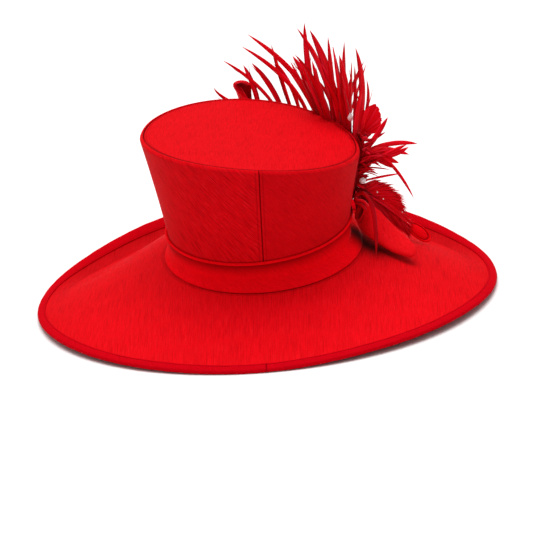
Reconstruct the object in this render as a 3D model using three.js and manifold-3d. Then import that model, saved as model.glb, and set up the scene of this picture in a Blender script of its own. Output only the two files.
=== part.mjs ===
// A wide-brimmed dress hat of covered buckram: a flared crown with a slanting flat tip, a folded
// band, a drooping bound brim, and a mount of feathers, fabric petals and glass stones.
// Millimetres, +Z up, standing on the plane z = 0. +X is the wearer's right and +Y the front.

import * as THREE from 'three';
import { LoftGeometry } from 'three/addons/geometries/LoftGeometry.js';
import { mergeVertices } from 'three/addons/utils/BufferGeometryUtils.js';
import Module from 'manifold-3d';

const wasm = await Module();
wasm.setup();

// ---- driving dimensions ------------------------------------------------------------------------

const AROUND = 64;                // facets round every oval piece
const CLEAR = 0.3;                // gap that separate pieces keep
const CLOTH = 2.0;                // stiffened cloth wall
const BACK_SHARE = 0.47;          // share of an oval's length behind its widest line

// the head frame: its XY plane holds the crown's foot, pitched and rolled against the floor
const HEAD = { x: 1.4, y: -13.7, z: 49.0, frontUp: 5.5, rightDown: 0.6 };

const FOOT = { x: -2.0, y: 0, halfWidth: 84.5, length: 206 };       // crown wall, outside, at the bottom
const SEAM = { x: -3.4, y: 0, halfWidth: 99.9, length: 234.3 };     // where the tip meets the side
const SHOULDER = 4.0;             // radius of the crown's top edge, outside the seam
const WAIST = 1.4;                // how far the crown's side curves in halfway up
const TIP = { height: 111.2, fallRight: 0.149, fallFront: 0.073, saddle: 2.7, dome: 2.5 };

const BAND = { foot: { x: 0, y: 0, halfWidth: 95, length: 226 }, height: 29, riseRight: 0.02 };

const BRIM = { x: 0, y: 0, halfWidth: 222.4, length: 456, troughAt: 0.8 };
const BINDING = { width: 9, middle: 5.5, cloth: 1.0, lip: 1.3, ease: 0.15 };

// the brim all round: the edge's height over the floor, and how far the brim dips below a straight
// slope at its trough. Angles run from the wearer's right (0) over the front (90).
const BRIM_SECTIONS = [
  { angle: -90, edge: 1.5, trough: 0 },
  { angle: -60, edge: 5.8, trough: 0 },
  { angle: -30, edge: 7.2, trough: 0 },
  { angle: 0, edge: 3.6, trough: 2 },
  { angle: 30, edge: 5.4, trough: 13.8 },
  { angle: 60, edge: 18.2, trough: 21.5 },
  { angle: 90, edge: 27.0, trough: 21.6 },
  { angle: 120, edge: 21.9, trough: 22.4 },
  { angle: 150, edge: 9.3, trough: 17.0 },
  { angle: 180, edge: 4.3, trough: 3 },
  { angle: 210, edge: 5.9, trough: 0 },
  { angle: 240, edge: 3.8, trough: 0 },
];

// The mount is laid out in the head frame. Its backing lies against the crown's side between two
// angles, tall at the first and narrow at the second, and everything else springs from it.
const BACKING = { from: 9, to: 94, low: 36, lowAtEnd: 66, belowSeam: 12, gap: 0.4, cloth: 4 };
const BLADE = { thick: 1.2, belowSeam: 16, inside: 1, tip: 0.5, spring: 6, springPerSide: 0.13 };

// stripped feather blades standing in a fan: the crown angle of the root, where the tip lies from it
// (right, forward, up), the sideways bow, and the width
const FAN = [
  { at: 90, side: -41, out: 13, up: 26, bow: -1, width: 3.3 },
  { at: 76, side: -54, out: 12, up: 59, bow: 4, width: 3.2 },
  { at: 88, side: -13, out: 10, up: 49, bow: 2, width: 4.8 },
  { at: 74, side: -29, out: 10, up: 56, bow: 2, width: 4.8 },
  { at: 58, side: -63, out: 17, up: 80, bow: 8, width: 4.0 },
  { at: 50, side: -67, out: 17, up: 97, bow: 8, width: 4.8 },
  { at: 68, side: -18, out: 11, up: 76, bow: -3, width: 3.8 },
  { at: 64, side: -22, out: 11, up: 61, bow: 2, width: 3.5 },
  { at: 48, side: -27, out: 11, up: 75, bow: 1, width: 7.6 },
  { at: 42, side: -28, out: 14, up: 106, bow: 6, width: 5.7 },
  { at: 52, side: -8, out: 12, up: 105, bow: -5, width: 5.7 },
  { at: 36, side: -22, out: 12, up: 108, bow: 2, width: 8.6 },
  { at: 38, side: -3, out: 11, up: 99, bow: -3, width: 4.8 },
  { at: 31, side: -6, out: 10, up: 94, bow: -1, width: 4.0 },
  { at: 29, side: -2, out: 9, up: 86, bow: -2, width: 4.0 },
  { at: 28, side: 3, out: 10, up: 100, bow: -5, width: 5.3 },
  { at: 22, side: 7, out: 10, up: 80, bow: -2, width: 3.6 },
  { at: 22, side: 9, out: 8, up: 98, bow: 4, width: 6.7 },
  { at: 30, side: 22, out: 14, up: 76, bow: -10, width: 4.0 },
  { at: 19, side: 13, out: 6, up: 67, bow: -6, width: 4.0 },
];

// blades of the bunch that leans out to the wearer's right, from one root
const SPRIG = { at: 14, height: 78, knot: 6 };
const SPRIG_BLADES = [
  { side: 25, out: 9, up: 31, lift: -3, width: 4.4 },
  { side: 52, out: 12, up: 1, lift: 9, width: 4.2 },
  { side: 43, out: -2, up: -4, lift: 7, width: 4.6 },
  { side: 43, out: -8, up: 6, lift: -12, width: 5.0 },
  { side: 45, out: -10, up: -45, lift: 28, width: 4.4 },
  { side: 39, out: -2, up: -26, lift: -4, width: 2.8 },
  { side: 33, out: 3, up: -14, lift: 2, width: 6.5 },
  { side: 27, out: -4, up: -17, lift: 2, width: 5.5 },
];

// single feathers and petals: the route of the middle line, widths along it, and the way that the
// flat side faces
const CURLED_RIGHT = {
  root: { at: 24, height: 74 }, faces: [0.1, -0.9, 0.4], thick: 2.2,
  route: [[101, 47, 88], [106, 47, 98], [111, 47, 107], [115, 48, 117]],
  widths: [4, 5, 11, 23, 22, 5],
};
const CURLED_LEFT = {
  root: { at: 82, height: 80 }, faces: [0.3, -0.85, 0.3], thick: 2.2,
  route: [[8, 130, 96], [2, 132, 106], [-8, 132, 112], [-18, 131, 111], [-22, 130, 103]],
  widths: [4, 7, 10, 11, 11, 9, 5],
};
const PLUME = {
  root: { at: 13, height: 43 }, faces: [0.45, -0.6, 0.65], thick: 5,
  route: [[108, 26, 38], [120, 32, 25], [131, 37, 11], [141, 42, -2]],
  widths: [5, 16, 27, 27, 18, 3],
};
const DROOPING = {
  root: { at: 11, height: 44 }, faces: [0.6, -0.7, 0.4], thick: 1.4,
  route: [[105, 6, 38], [108, -8, 29], [109, -22, 19], [108, -36, 9], [107, -47, 0]],
  widths: [3.4, 3.4, 3.6, 3.2, 2.6, 1.0],
};
const FOLDED_PETAL = {
  root: { at: 11, height: 39 }, faces: [0.1, -0.5, 0.85], thick: 9,
  route: [[101, 8, 29], [107, 3, 19], [117, -4, 8], [128, -10, -1], [137, -15, -7], [142, -18, -10]],
  widths: [6, 18, 28, 31, 29, 21, 8],
};
const SMALL_PETAL = {
  root: { at: 17, height: 40 }, faces: [0.2, -0.7, 0.7], thick: 5,
  route: [[115, 42, 22], [127, 46, 5], [137, 48, -7], [147, 49, -16], [155, 50, -23], [160, 50, -27]],
  widths: [4, 4, 6, 15, 19, 16, 6],
};

// glass: the drop and the ball stand on wires of the fan, and small stones lie on the plume
const WIRE = 1.4;
const DROP = { at: 25, side: -3, out: 1, up: 22.6, radius: 2.9, length: 8.6 };
const WIRED_STONES = [
  { name: 'glass_ball', at: 13, height: 53, stands: 3, radius: 3.2 },
  { name: 'glass_stone_1', at: 11, height: 47.5, stands: 2, radius: 1.5 },
  { name: 'glass_stone_2', at: 26, height: 88, stands: 1, radius: 1.4 },
  { name: 'glass_stone_3', at: 56, height: 99, stands: 1, radius: 1.4 },
];
const PLUME_STONES = [
  { name: 'glass_stone_4', along: 0.3, across: 2.0, radius: 1.3 },
  { name: 'glass_stone_5', along: 0.42, across: 2.5, radius: 1.5 },
  { name: 'glass_stone_6', along: 0.8, across: 1.0, radius: 1.2 },
];

// ---- materials ---------------------------------------------------------------------------------

const cloth = (color, roughness) => new THREE.MeshStandardMaterial({ color, roughness, metalness: 0 });
const SILK = cloth(0xd8101e, 0.7);
const SILK_DARK = cloth(0xb00612, 0.75);
const FEATHER = cloth(0xb80014, 0.55);
const GLASS = new THREE.MeshStandardMaterial({ color: 0xf4f4f8, roughness: 0.05, metalness: 0.1 });

// ---- helpers -----------------------------------------------------------------------------------

const { lerp, degToRad, euclideanModulo, smoothstep } = THREE.MathUtils;

const headFrame = new THREE.Matrix4()
  .makeTranslation(HEAD.x, HEAD.y, HEAD.z)
  .multiply(new THREE.Matrix4().makeRotationY(degToRad(HEAD.rightDown)))
  .multiply(new THREE.Matrix4().makeRotationX(degToRad(HEAD.frontUp)));

const inHeadFrame = (point) => point.clone().applyMatrix4(headFrame);

// a point of an egg-shaped oval centred on its length, pushed outwards by grow
function ovalPoint(oval, angle, height, grow = 0) {
  const length = oval.length + 2 * grow;
  const reach = (Math.sin(angle) < 0 ? BACK_SHARE : 1 - BACK_SHARE) * length;
  return new THREE.Vector3(
    oval.x + (oval.halfWidth + grow) * Math.cos(angle),
    oval.y + (BACK_SHARE - 0.5) * length + reach * Math.sin(angle),
    height,
  );
}

// a smooth periodic curve through one column of the brim's table
function brimColumn(column, angle) {
  const rows = BRIM_SECTIONS.length;
  const place = euclideanModulo((angle * 180 / Math.PI + 90) / 360, 1) * rows;
  const row = Math.floor(place);
  const t = place - row;
  const [a, b, c, d] = [-1, 0, 1, 2].map((k) => BRIM_SECTIONS[(row + k + rows) % rows][column]);
  return b + 0.5 * t * (c - a + t * (2 * a - 5 * b + 4 * c - d + t * (3 * (b - c) + d - a)));
}

// a closed ring: profileAt(angle) gives its section, up the outside and down the inside
function ringGeometry(profileAt) {
  const sections = [];
  for (let i = AROUND; i >= 0; i--) {
    sections.push(profileAt((i % AROUND) / AROUND * 2 * Math.PI));
  }
  return new LoftGeometry(sections);
}

// a closed mesh's shared vertices joined, with nothing but their positions
function welded(geometry) {
  const bare = new THREE.BufferGeometry().copy(geometry);
  bare.deleteAttribute('normal');
  bare.deleteAttribute('uv');
  return mergeVertices(bare, 1e-3);
}

function solid(geometry) {
  const joined = welded(geometry);
  return new wasm.Manifold(new wasm.Mesh({
    numProp: 3,
    vertProperties: Float32Array.from(joined.attributes.position.array),
    triVerts: Uint32Array.from(joined.index.array),
  }));
}

function geometryOf(manifold) {
  const mesh = manifold.getMesh();
  const geometry = new THREE.BufferGeometry();
  geometry.setAttribute('position', new THREE.BufferAttribute(mesh.vertProperties, 3));
  geometry.setIndex(new THREE.BufferAttribute(mesh.triVerts, 1));
  geometry.computeVertexNormals();
  return geometry;
}

// what lies below the floor is pressed flat
function restedOnFloor(geometry) {
  const depth = 20;
  const below = new THREE.BoxGeometry(2 * BRIM.length, 2 * BRIM.length, depth).translate(0, 0, -depth / 2);
  return geometryOf(solid(geometry).subtract(solid(below)));
}

function piece(name, geometry, material) {
  const mesh = new THREE.Mesh(geometry, material);
  mesh.name = name;
  return mesh;
}

// ---- crown -------------------------------------------------------------------------------------

// height of the tip's seam over the head frame at a place in plan
function seamHeight(point, angle) {
  return TIP.height - TIP.fallRight * point.x - TIP.fallFront * point.y - TIP.saddle * Math.cos(2 * angle);
}

// the crown wall's outside at a height share between its foot (0) and its shoulder (1)
function wallPoint(angle, share, grow = 0) {
  const low = ovalPoint(FOOT, angle, CLEAR, grow);
  const high = ovalPoint(SEAM, angle, 0, SHOULDER + grow);
  high.z = seamHeight(ovalPoint(SEAM, angle, 0), angle) - SHOULDER;
  const outwards = new THREE.Vector3(Math.cos(angle), Math.sin(angle), 0);
  return low.lerp(high, share).addScaledVector(outwards, -4 * WAIST * share * (1 - share));
}

// the same at a height over the head frame
function wallAtHeight(angle, height, grow = 0) {
  const foot = wallPoint(angle, 0).z;
  const share = (height - foot) / (wallPoint(angle, 1).z - foot);
  return wallPoint(angle, share, grow);
}

function crownSide() {
  return piece('crown_side', ringGeometry((angle) => {
    const seam = ovalPoint(SEAM, angle, 0);
    seam.z = seamHeight(seam, angle);
    const onShoulder = (turn, radius) => {
      const point = ovalPoint(SEAM, angle, 0, radius * Math.cos(turn));
      point.z = seam.z - SHOULDER + radius * Math.sin(turn);
      return point;
    };
    return [
      wallPoint(angle, 0),
      wallPoint(angle, 0.33),
      wallPoint(angle, 0.67),
      onShoulder(0, SHOULDER),
      onShoulder(0.6, SHOULDER),
      onShoulder(1.1, SHOULDER),
      onShoulder(Math.PI / 2, SHOULDER),
      onShoulder(Math.PI / 2, SHOULDER - CLOTH),
      onShoulder(0.8, SHOULDER - CLOTH),
      onShoulder(0, SHOULDER - CLOTH),
      wallPoint(angle, 0.67, -CLOTH),
      wallPoint(angle, 0.33, -CLOTH),
      wallPoint(angle, 0, -CLOTH),
    ].map(inHeadFrame);
  }), SILK);
}

// the tip's surface at a share of the way from its middle (0) to the seam (1)
function tipPoint(angle, share, drop) {
  const middle = new THREE.Vector3(SEAM.x, SEAM.y, 0);
  const point = ovalPoint(SEAM, angle, 0, -CLEAR).lerp(middle, 1 - share);
  point.z = TIP.height - TIP.fallRight * point.x - TIP.fallFront * point.y - drop
    - TIP.saddle * share * share * Math.cos(2 * angle) + TIP.dome * (1 - share * share);
  return point;
}

function crownTip() {
  const rings = [[0, CLOTH], [0.5, CLOTH], [1, CLOTH], [1, 0], [0.75, 0], [0.4, 0], [0, 0]];
  const sections = rings.map(([share, drop]) => {
    const ring = [];
    for (let i = 0; i < AROUND; i++) ring.push(inHeadFrame(tipPoint(i / AROUND * 2 * Math.PI, share, drop)));
    return ring;
  });
  return piece('crown_tip', new LoftGeometry(sections), SILK);
}

// ---- band --------------------------------------------------------------------------------------

function hatBand() {
  return piece('hat_band', ringGeometry((angle) => {
    const top = BAND.height + BAND.riseRight * ovalPoint(FOOT, angle, 0).x;
    const onWall = (height, grow) => wallAtHeight(angle, height, grow);
    const foot = (height, grow) => ovalPoint(BAND.foot, angle, height, grow);
    return [
      foot(CLEAR, -1.6),
      foot(CLEAR, 0),
      foot(3.5, -1.9),
      onWall(9, 2.9),
      onWall(top - 6.5, 1.9),
      onWall(top - 4.2, 2.9),
      onWall(top - 1.5, 2.9),
      onWall(top, 1.6),
      onWall(top - 0.6, 1.5 * CLEAR),
      onWall(10, 1.5 * CLEAR),
      foot(3.5, -3.9),
    ].map(inHeadFrame);
  }), SILK_DARK);
}

// ---- brim --------------------------------------------------------------------------------------

// the middle of the brim's cloth, from the band's foot (0) to the binding's outer edge (1)
function brimPoint(angle, share) {
  const inner = inHeadFrame(ovalPoint(BAND.foot, angle, -CLOTH / 2));
  const outer = ovalPoint(BRIM, angle, brimColumn('edge', angle));
  const point = inner.lerp(outer, share);
  const rise = (share - BRIM.troughAt) / (1 - BRIM.troughAt);
  const dip = share < BRIM.troughAt
    ? 0.5 - 0.5 * Math.cos(Math.PI * share / BRIM.troughAt)
    : Math.cos(Math.PI / 2 * rise);
  point.z -= brimColumn('trough', angle) * dip;
  return point;
}

// the share of the brim's width that lies a distance in from its edge
function shareFromEdge(angle, distance) {
  return 1 - distance / brimPoint(angle, 1).distanceTo(brimPoint(angle, 0));
}

// a point a distance above or below the middle of the cloth, square to it
function brimOffset(angle, share, offset) {
  const step = 0.01;
  const here = brimPoint(angle, share);
  const along = brimPoint(angle, share + step / 2).sub(brimPoint(angle, share - step / 2));
  const sideways = new THREE.Vector3(-Math.sin(angle), Math.cos(angle), 0);
  return here.addScaledVector(along.cross(sideways).normalize(), offset);
}

function brim() {
  const shares = [0, 0.1, 0.26, 0.43, 0.59, 0.72, 0.82];
  const fromEdge = [14, BINDING.width, BINDING.middle, BINDING.lip + BINDING.cloth];
  return piece('brim', restedOnFloor(ringGeometry((angle) => {
    const all = [...shares, ...fromEdge.map((distance) => shareFromEdge(angle, distance))];
    const flange = (height) => inHeadFrame(ovalPoint(FOOT, angle, height, -CLOTH));
    return [
      ...all.map((share) => brimOffset(angle, share, -CLOTH / 2)),
      ...all.reverse().map((share) => brimOffset(angle, share, CLOTH / 2)),
      flange(0),
      flange(-CLOTH),
    ];
  })), SILK);
}

function brimBinding() {
  const inside = CLOTH / 2 + CLEAR + BINDING.ease;
  const outside = inside + BINDING.cloth;
  return piece('brim_binding', restedOnFloor(ringGeometry((angle) => {
    const at = (distance, offset) => brimOffset(angle, shareFromEdge(angle, distance), offset);
    const turn = BINDING.cloth + BINDING.lip - CLEAR;
    return [
      at(BINDING.width, -outside),
      at(BINDING.middle, -outside),
      at(BINDING.lip, -outside),
      at(0, -0.8),
      at(0, 0.8),
      at(BINDING.lip, outside),
      at(BINDING.middle, outside),
      at(BINDING.width, outside),
      at(BINDING.width, inside),
      at(BINDING.middle, inside),
      at(turn, inside),
      at(turn, -inside),
      at(BINDING.middle, -inside),
      at(BINDING.width, -inside),
    ];
  })), SILK_DARK);
}

// ---- mount -------------------------------------------------------------------------------------

// a place on the backing's outer face, or beyond it
function mountPoint(degrees, height, beyond = 0) {
  return wallAtHeight(degToRad(degrees), height, BACKING.gap + BACKING.cloth + beyond);
}

function belowSeam(degrees, drop) {
  const angle = degToRad(degrees);
  return seamHeight(ovalPoint(SEAM, angle, 0), angle) - drop;
}

function outwards(degrees) {
  return new THREE.Vector3(Math.cos(degToRad(degrees)), Math.sin(degToRad(degrees)), 0);
}

// half-width and half-depth shares of a lock's section
const DIAMOND = [[1, 0], [0, -1], [-1, 0], [0, 1]];
const PILLOW = [[1, 0], [0.4, -1], [-0.4, -1], [-1, 0], [-0.4, 1], [0.4, 1]];

// a flat tapering lock along a curve, with its flat side facing one way
function lockGeometry(curve, widths, thick, facing, steps, outline = DIAMOND) {
  const widthCurve = new THREE.SplineCurve(widths.map((width, i) => new THREE.Vector2(i, width)));
  const sections = [];
  for (let i = 0; i <= steps; i++) {
    const t = i / steps;
    const middle = curve.getPointAt(t);
    const along = curve.getTangentAt(t);
    const side = along.clone().cross(facing).normalize();
    const face = side.clone().cross(along);
    const width = widthCurve.getPoint(t).y;
    const depth = Math.min(thick, width);
    sections.push(outline.map(([across, out]) => inHeadFrame(middle.clone()
      .addScaledVector(side, across * width / 2)
      .addScaledVector(face, out * depth / 2))));
  }
  return new LoftGeometry(sections, { capStart: true, capEnd: true });
}

function bladeGeometry(root, tip, control, width, facing) {
  const curve = new THREE.QuadraticBezierCurve3(root, control, tip);
  return lockGeometry(curve, [0.8 * width, width, 0.7 * width, BLADE.tip], BLADE.thick, facing, 4);
}

function backing() {
  const sections = [];
  const steps = Math.round((BACKING.to - BACKING.from) / 360 * AROUND);
  for (let i = 0; i <= steps; i++) {
    const degrees = lerp(BACKING.to, BACKING.from, i / steps);
    const top = belowSeam(degrees, BACKING.belowSeam);
    const low = lerp(BACKING.low, BACKING.lowAtEnd, smoothstep(degrees, 2 * BACKING.from, BACKING.to / 2));
    const middle = (low + top) / 2;
    sections.push([
      mountPoint(degrees, low, -BACKING.cloth),
      mountPoint(degrees, low),
      mountPoint(degrees, middle),
      mountPoint(degrees, top),
      mountPoint(degrees, top, -BACKING.cloth),
      mountPoint(degrees, middle, -BACKING.cloth),
    ].map(inHeadFrame));
  }
  return new LoftGeometry(sections, { capStart: true, capEnd: true });
}

// a straight wire from inside the backing to just short of what it carries
function wireGeometry(from, to) {
  const facing = new THREE.Vector3(0.3, -0.8, 0.5);
  return lockGeometry(new THREE.LineCurve3(from, to), [WIRE, WIRE], WIRE, facing, 1);
}

function fanBlade({ at, side, out, up, bow, width }) {
  const root = mountPoint(at, belowSeam(at, BLADE.belowSeam), -BLADE.inside);
  const tip = root.clone().add(new THREE.Vector3(side, out, up));
  const spring = BLADE.spring + BLADE.springPerSide * Math.abs(side);
  const control = root.clone().lerp(tip, 0.5).addScaledVector(outwards(at), spring);
  control.x += 2 * bow;
  return bladeGeometry(root, tip, control, width, outwards(at));
}

function dropFoot() {
  const foot = mountPoint(DROP.at, belowSeam(DROP.at, BLADE.belowSeam), 3);
  return foot.add(new THREE.Vector3(DROP.side, DROP.out, DROP.up));
}

// centre of a stone on a wire: close to the backing's face, or standing over its upper edge
function wiredStonePlace({ at, height, stands, radius }) {
  return mountPoint(at, height, radius + stands);
}

function featherFan() {
  let fan = solid(backing());
  const parts = FAN.map(fanBlade);
  parts.push(wireGeometry(mountPoint(DROP.at, belowSeam(DROP.at, BLADE.belowSeam), -1), dropFoot()));
  for (const stone of WIRED_STONES) {
    const centre = wiredStonePlace(stone);
    const foot = mountPoint(stone.at, Math.min(stone.height, belowSeam(stone.at, BLADE.belowSeam)), -1);
    const reach = centre.clone().sub(foot);
    reach.setLength(reach.length() - stone.radius - CLEAR);
    parts.push(wireGeometry(foot, foot.clone().add(reach)));
  }
  for (const part of parts) fan = fan.add(solid(part));
  return piece('feather_fan', geometryOf(fan), FEATHER);
}

function featherSprig() {
  const root = mountPoint(SPRIG.at, SPRIG.height, CLEAR + 0.8);
  const knot = outwards(SPRIG.at);
  const heart = root.clone().addScaledVector(knot, 4);
  const facing = new THREE.Vector3(0.1, -0.8, 0.6);
  let sprig = solid(lockGeometry(
    new THREE.LineCurve3(root, root.clone().addScaledVector(knot, 9)),
    [SPRIG.knot, SPRIG.knot, 3], SPRIG.knot, facing, 2));
  for (const { side, out, up, lift, width } of SPRIG_BLADES) {
    const tip = heart.clone().add(new THREE.Vector3(side, out, up));
    const control = heart.clone().lerp(tip, 0.5);
    control.z += lift;
    sprig = sprig.add(solid(bladeGeometry(heart, tip, control, width, facing)));
  }
  return piece('feather_sprig', geometryOf(sprig), FEATHER);
}

// from the backing's face, out of it for a short way, and along the route
function routeCurve({ root, route, widths }) {
  const start = mountPoint(root.at, root.height, CLEAR + 0.13 * widths[0]);
  const out = mountPoint(root.at, root.height, 4);
  return new THREE.CatmullRomCurve3([start, out, ...route.map((point) => new THREE.Vector3(...point))]);
}

function singleLock(name, form, material, steps = 8) {
  const facing = new THREE.Vector3(...form.faces).normalize();
  const { widths, thick } = form;
  return piece(name, lockGeometry(routeCurve(form), widths, thick, facing, steps, PILLOW), material);
}

// a cut stone: a flat table over a sloping crown and a pointed foot, eight facets round
function cutStone(name, centre, radius, facing) {
  const profile = [[0, -0.9], [0.95, -0.1], [1, 0.1], [0.55, 0.55], [0, 0.55]];
  const outline = profile.map(([r, z]) => new THREE.Vector2(r, z).multiplyScalar(radius));
  const stone = new THREE.LatheGeometry(outline, 8);
  const mesh = piece(name, stone, GLASS);
  mesh.quaternion.setFromUnitVectors(new THREE.Vector3(0, 1, 0), facing);
  mesh.position.copy(inHeadFrame(centre));
  return mesh;
}

function wiredStone(stone) {
  const centre = wiredStonePlace(stone);
  if (stone.name !== 'glass_ball') return cutStone(stone.name, centre, stone.radius, outwards(stone.at));
  const ball = piece(stone.name, new THREE.IcosahedronGeometry(stone.radius, 1), GLASS);
  ball.position.copy(inHeadFrame(centre));
  return ball;
}

function glassDrop() {
  const { radius, length } = DROP;
  const profile = [[0, 0], [0.6, 0.1], [1, 0.35], [0.85, 0.58], [0.4, 0.82], [0, 1]];
  const outline = profile.map(([r, z]) => new THREE.Vector2(r * radius, z * length));
  const drop = new THREE.LatheGeometry(outline, 8);
  drop.rotateX(Math.PI / 2);
  const mesh = piece('glass_drop', drop, GLASS);
  mesh.position.copy(inHeadFrame(dropFoot().add(new THREE.Vector3(0, 0, CLEAR))));
  return mesh;
}

function plumeStone({ name, along, across, radius }) {
  const curve = routeCurve(PLUME);
  const tangent = curve.getTangentAt(along);
  const side = tangent.clone().cross(new THREE.Vector3(...PLUME.faces)).normalize();
  const face = side.clone().cross(tangent);
  const centre = curve.getPointAt(along).addScaledVector(side, across)
    .addScaledVector(face, PLUME.thick / 2 + CLEAR + radius);
  return cutStone(name, centre, radius, face);
}

// ---- the hat -----------------------------------------------------------------------------------

const hat = new THREE.Group();
hat.add(crownSide(), crownTip(), hatBand(), brim(), brimBinding());
hat.add(featherFan(), featherSprig());
hat.add(singleLock('curled_feather_right', CURLED_RIGHT, FEATHER));
hat.add(singleLock('curled_feather_left', CURLED_LEFT, FEATHER));
hat.add(singleLock('hackle_plume', PLUME, FEATHER));
hat.add(singleLock('drooping_blade', DROOPING, FEATHER));
hat.add(singleLock('folded_petal', FOLDED_PETAL, SILK, 10));
hat.add(singleLock('small_petal', SMALL_PETAL, SILK, 10));
hat.add(glassDrop());
hat.add(...WIRED_STONES.map(wiredStone));
hat.add(...PLUME_STONES.map(plumeStone));

export default hat;
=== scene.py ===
# The looks of a wide-brimmed dress hat: slubbed red silk over buckram, with a mount of feathers,
# petals and glass. Shapes are worked out in millimetres and made in metres, in the CAD's frame.

import math

import bpy
import numpy as np
from mathutils import Matrix, Vector


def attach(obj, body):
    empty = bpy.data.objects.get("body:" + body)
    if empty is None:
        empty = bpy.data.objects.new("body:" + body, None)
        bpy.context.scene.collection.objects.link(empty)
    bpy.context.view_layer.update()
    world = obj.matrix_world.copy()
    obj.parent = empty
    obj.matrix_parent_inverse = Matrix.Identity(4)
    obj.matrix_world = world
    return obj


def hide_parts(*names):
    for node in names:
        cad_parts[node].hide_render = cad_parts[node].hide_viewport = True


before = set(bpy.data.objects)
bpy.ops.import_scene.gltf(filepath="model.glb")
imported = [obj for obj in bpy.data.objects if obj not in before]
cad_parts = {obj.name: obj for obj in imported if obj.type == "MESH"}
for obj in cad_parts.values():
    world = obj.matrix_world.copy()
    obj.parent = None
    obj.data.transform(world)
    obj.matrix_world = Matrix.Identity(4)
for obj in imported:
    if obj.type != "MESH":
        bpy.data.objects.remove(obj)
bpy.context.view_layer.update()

MM = 0.001
TAU = 2 * math.pi

# ---- camera --------

TARGET, DISTANCE = Vector((0.00486, -0.0137, 0.02262)), 1.9972
AZIMUTH, ELEVATION, ROLL = (math.radians(a) for a in (3.706, 18.473, 5.230))
LENS, SENSOR = 137.78, 36


def make_camera():
    away = Vector((math.sin(AZIMUTH) * math.cos(ELEVATION),
                   -math.cos(AZIMUTH) * math.cos(ELEVATION), math.sin(ELEVATION)))
    level = Vector((math.cos(AZIMUTH), math.sin(AZIMUTH), 0))
    upright = away.cross(level)
    right = level * math.cos(ROLL) - upright * math.sin(ROLL)
    up = away.cross(right)
    data = bpy.data.cameras.new("camera")
    data.lens, data.sensor_width = LENS, SENSOR
    data.clip_end = 100
    camera = bpy.data.objects.new("camera", data)
    camera.matrix_world = Matrix((right, up, away)).transposed().to_4x4()
    camera.location = TARGET + away * DISTANCE
    bpy.context.scene.collection.objects.link(camera)
    bpy.context.scene.camera = camera


make_camera()

# ---- dimensions, in millimetres --------
# They are the part's own, but for FOOT, SEAM and SHOULDER: the crown is slightly slimmer here.

CLEAR, CLOTH, BACK_SHARE = 0.3, 2.0, 0.47
HEAD = dict(x=1.4, y=-13.7, z=49.0, front_up=5.5, right_down=0.6)

# ovals: x, y, half width, length
FOOT = (-3.3, 0, 83.2, 206)
SEAM = (-4.2, 0, 99.1, 234.3)
BAND_FOOT = (0, 0, 95, 226)
BRIM_EDGE = (0, 0, 222.4, 456)

SHOULDER, WAIST = 3.0, 1.4
TIP = dict(height=111.2, fall_right=0.149, fall_front=0.073, saddle=2.7, dome=2.5)
BAND_HEIGHT, BAND_RISE = 29, 0.02
TROUGH_AT = 0.8

# the brim every 30 degrees from the back: the edge's height, and the trough's depth
EDGE = (1.5, 5.8, 7.2, 3.6, 5.4, 18.2, 27.0, 21.9, 9.3, 4.3, 5.9, 3.8)
TROUGH = (0, 0, 0, 2, 13.8, 21.5, 21.6, 22.4, 17.0, 3, 0, 0)

BACKING = dict(start=9, end=94, low=36, low_at_end=66, below_seam=12, gap=0.4, cloth=4)
BLADE = dict(below_seam=16, inside=1, spring=6, spring_per_side=0.13)

# stripped blades of the fan: crown angle of the root, the tip from it (right, forward, up),
# sideways bow, width
FAN = (
    (90, -41, 13, 26, -9, 3.3), (76, -54, 12, 59, 4, 3.2), (88, -13, 10, 49, 2, 4.8),
    (74, -29, 10, 56, 2, 4.8), (58, -63, 17, 80, 8, 4.0), (50, -67, 17, 97, 8, 4.8),
    (68, -18, 11, 76, -3, 3.8), (64, -22, 11, 61, 2, 3.5), (48, -27, 11, 75, 1, 7.6),
    (42, -28, 14, 106, 6, 5.7), (52, -8, 12, 105, -5, 5.7), (36, -22, 12, 108, 2, 8.6),
    (38, -3, 11, 99, -3, 4.8), (31, -6, 10, 94, -1, 4.0), (29, -2, 9, 86, -2, 4.0),
    (28, 3, 10, 100, -5, 5.3), (22, 7, 10, 80, -2, 3.6), (22, 9, 8, 98, 4, 6.7),
    (30, 22, 14, 76, -10, 4.0), (19, 13, 6, 67, -6, 4.0), (34, 28, 2, 75, -4, 2.4),
    (24, 19, 6, 65, 3, 3.4), (50, -26, -12, 76, -3, 3.6), (46, -26, -14, 86, 4, 4.4),
    (44, -22, -20, 79, -4, 4.2), (30, -1, -6, 92, 3, 3.6), (27, 8, 2, 83, -3, 3.2),
    (30, -6, -6, 101, -3, 3.4), (40, -17, -14, 83, -5, 5.0), (36, -13, -8, 69, 3, 4.6),
    (33, -9, 4, 83, -4, 4.6),
)

# blades of the bunch to the right: the tip from its heart (right, forward, up), lift, width
SPRIG_AT, SPRIG_HEIGHT = 14.0, 78
SPRIG = (
    (25, 9, 31, -3, 4.4), (52, 12, 1, 9, 4.2), (43, -2, -4, 7, 4.6), (43, -8, 6, -12, 5.0),
    (33, 3, -14, 2, 5.2), (27, 4, -19, 2, 4.6), (45, -22, -41, 29, 2.7),
)

# the folded petal: its lower edge, upper edge, and half its thickness, from the mouth to the tip
FOLDED_LOW = np.array((
    (91, 2, 17), (94, -3, 11), (101, -12, 6), (111, -21, 2), (122, -30, -2), (133, -36, -4.5),
    (140, -38, -5.5), (144, -35.5, -5), (145, -32, -3.5)))
FOLDED_HIGH = np.array((
    (99, 2, 37), (106, 4, 32), (113, 4, 25.5), (121, 2, 15.5), (130, -5, 6.5), (138, -14, 2.5),
    (143.5, -24, 1), (145, -28.5, -1.5), (145.4, -31, -3)))
FOLDED_HALF = (4.2, 4.2, 4.6, 4.6, 4.3, 3.7, 2.7, 1.8, 0.5)

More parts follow.
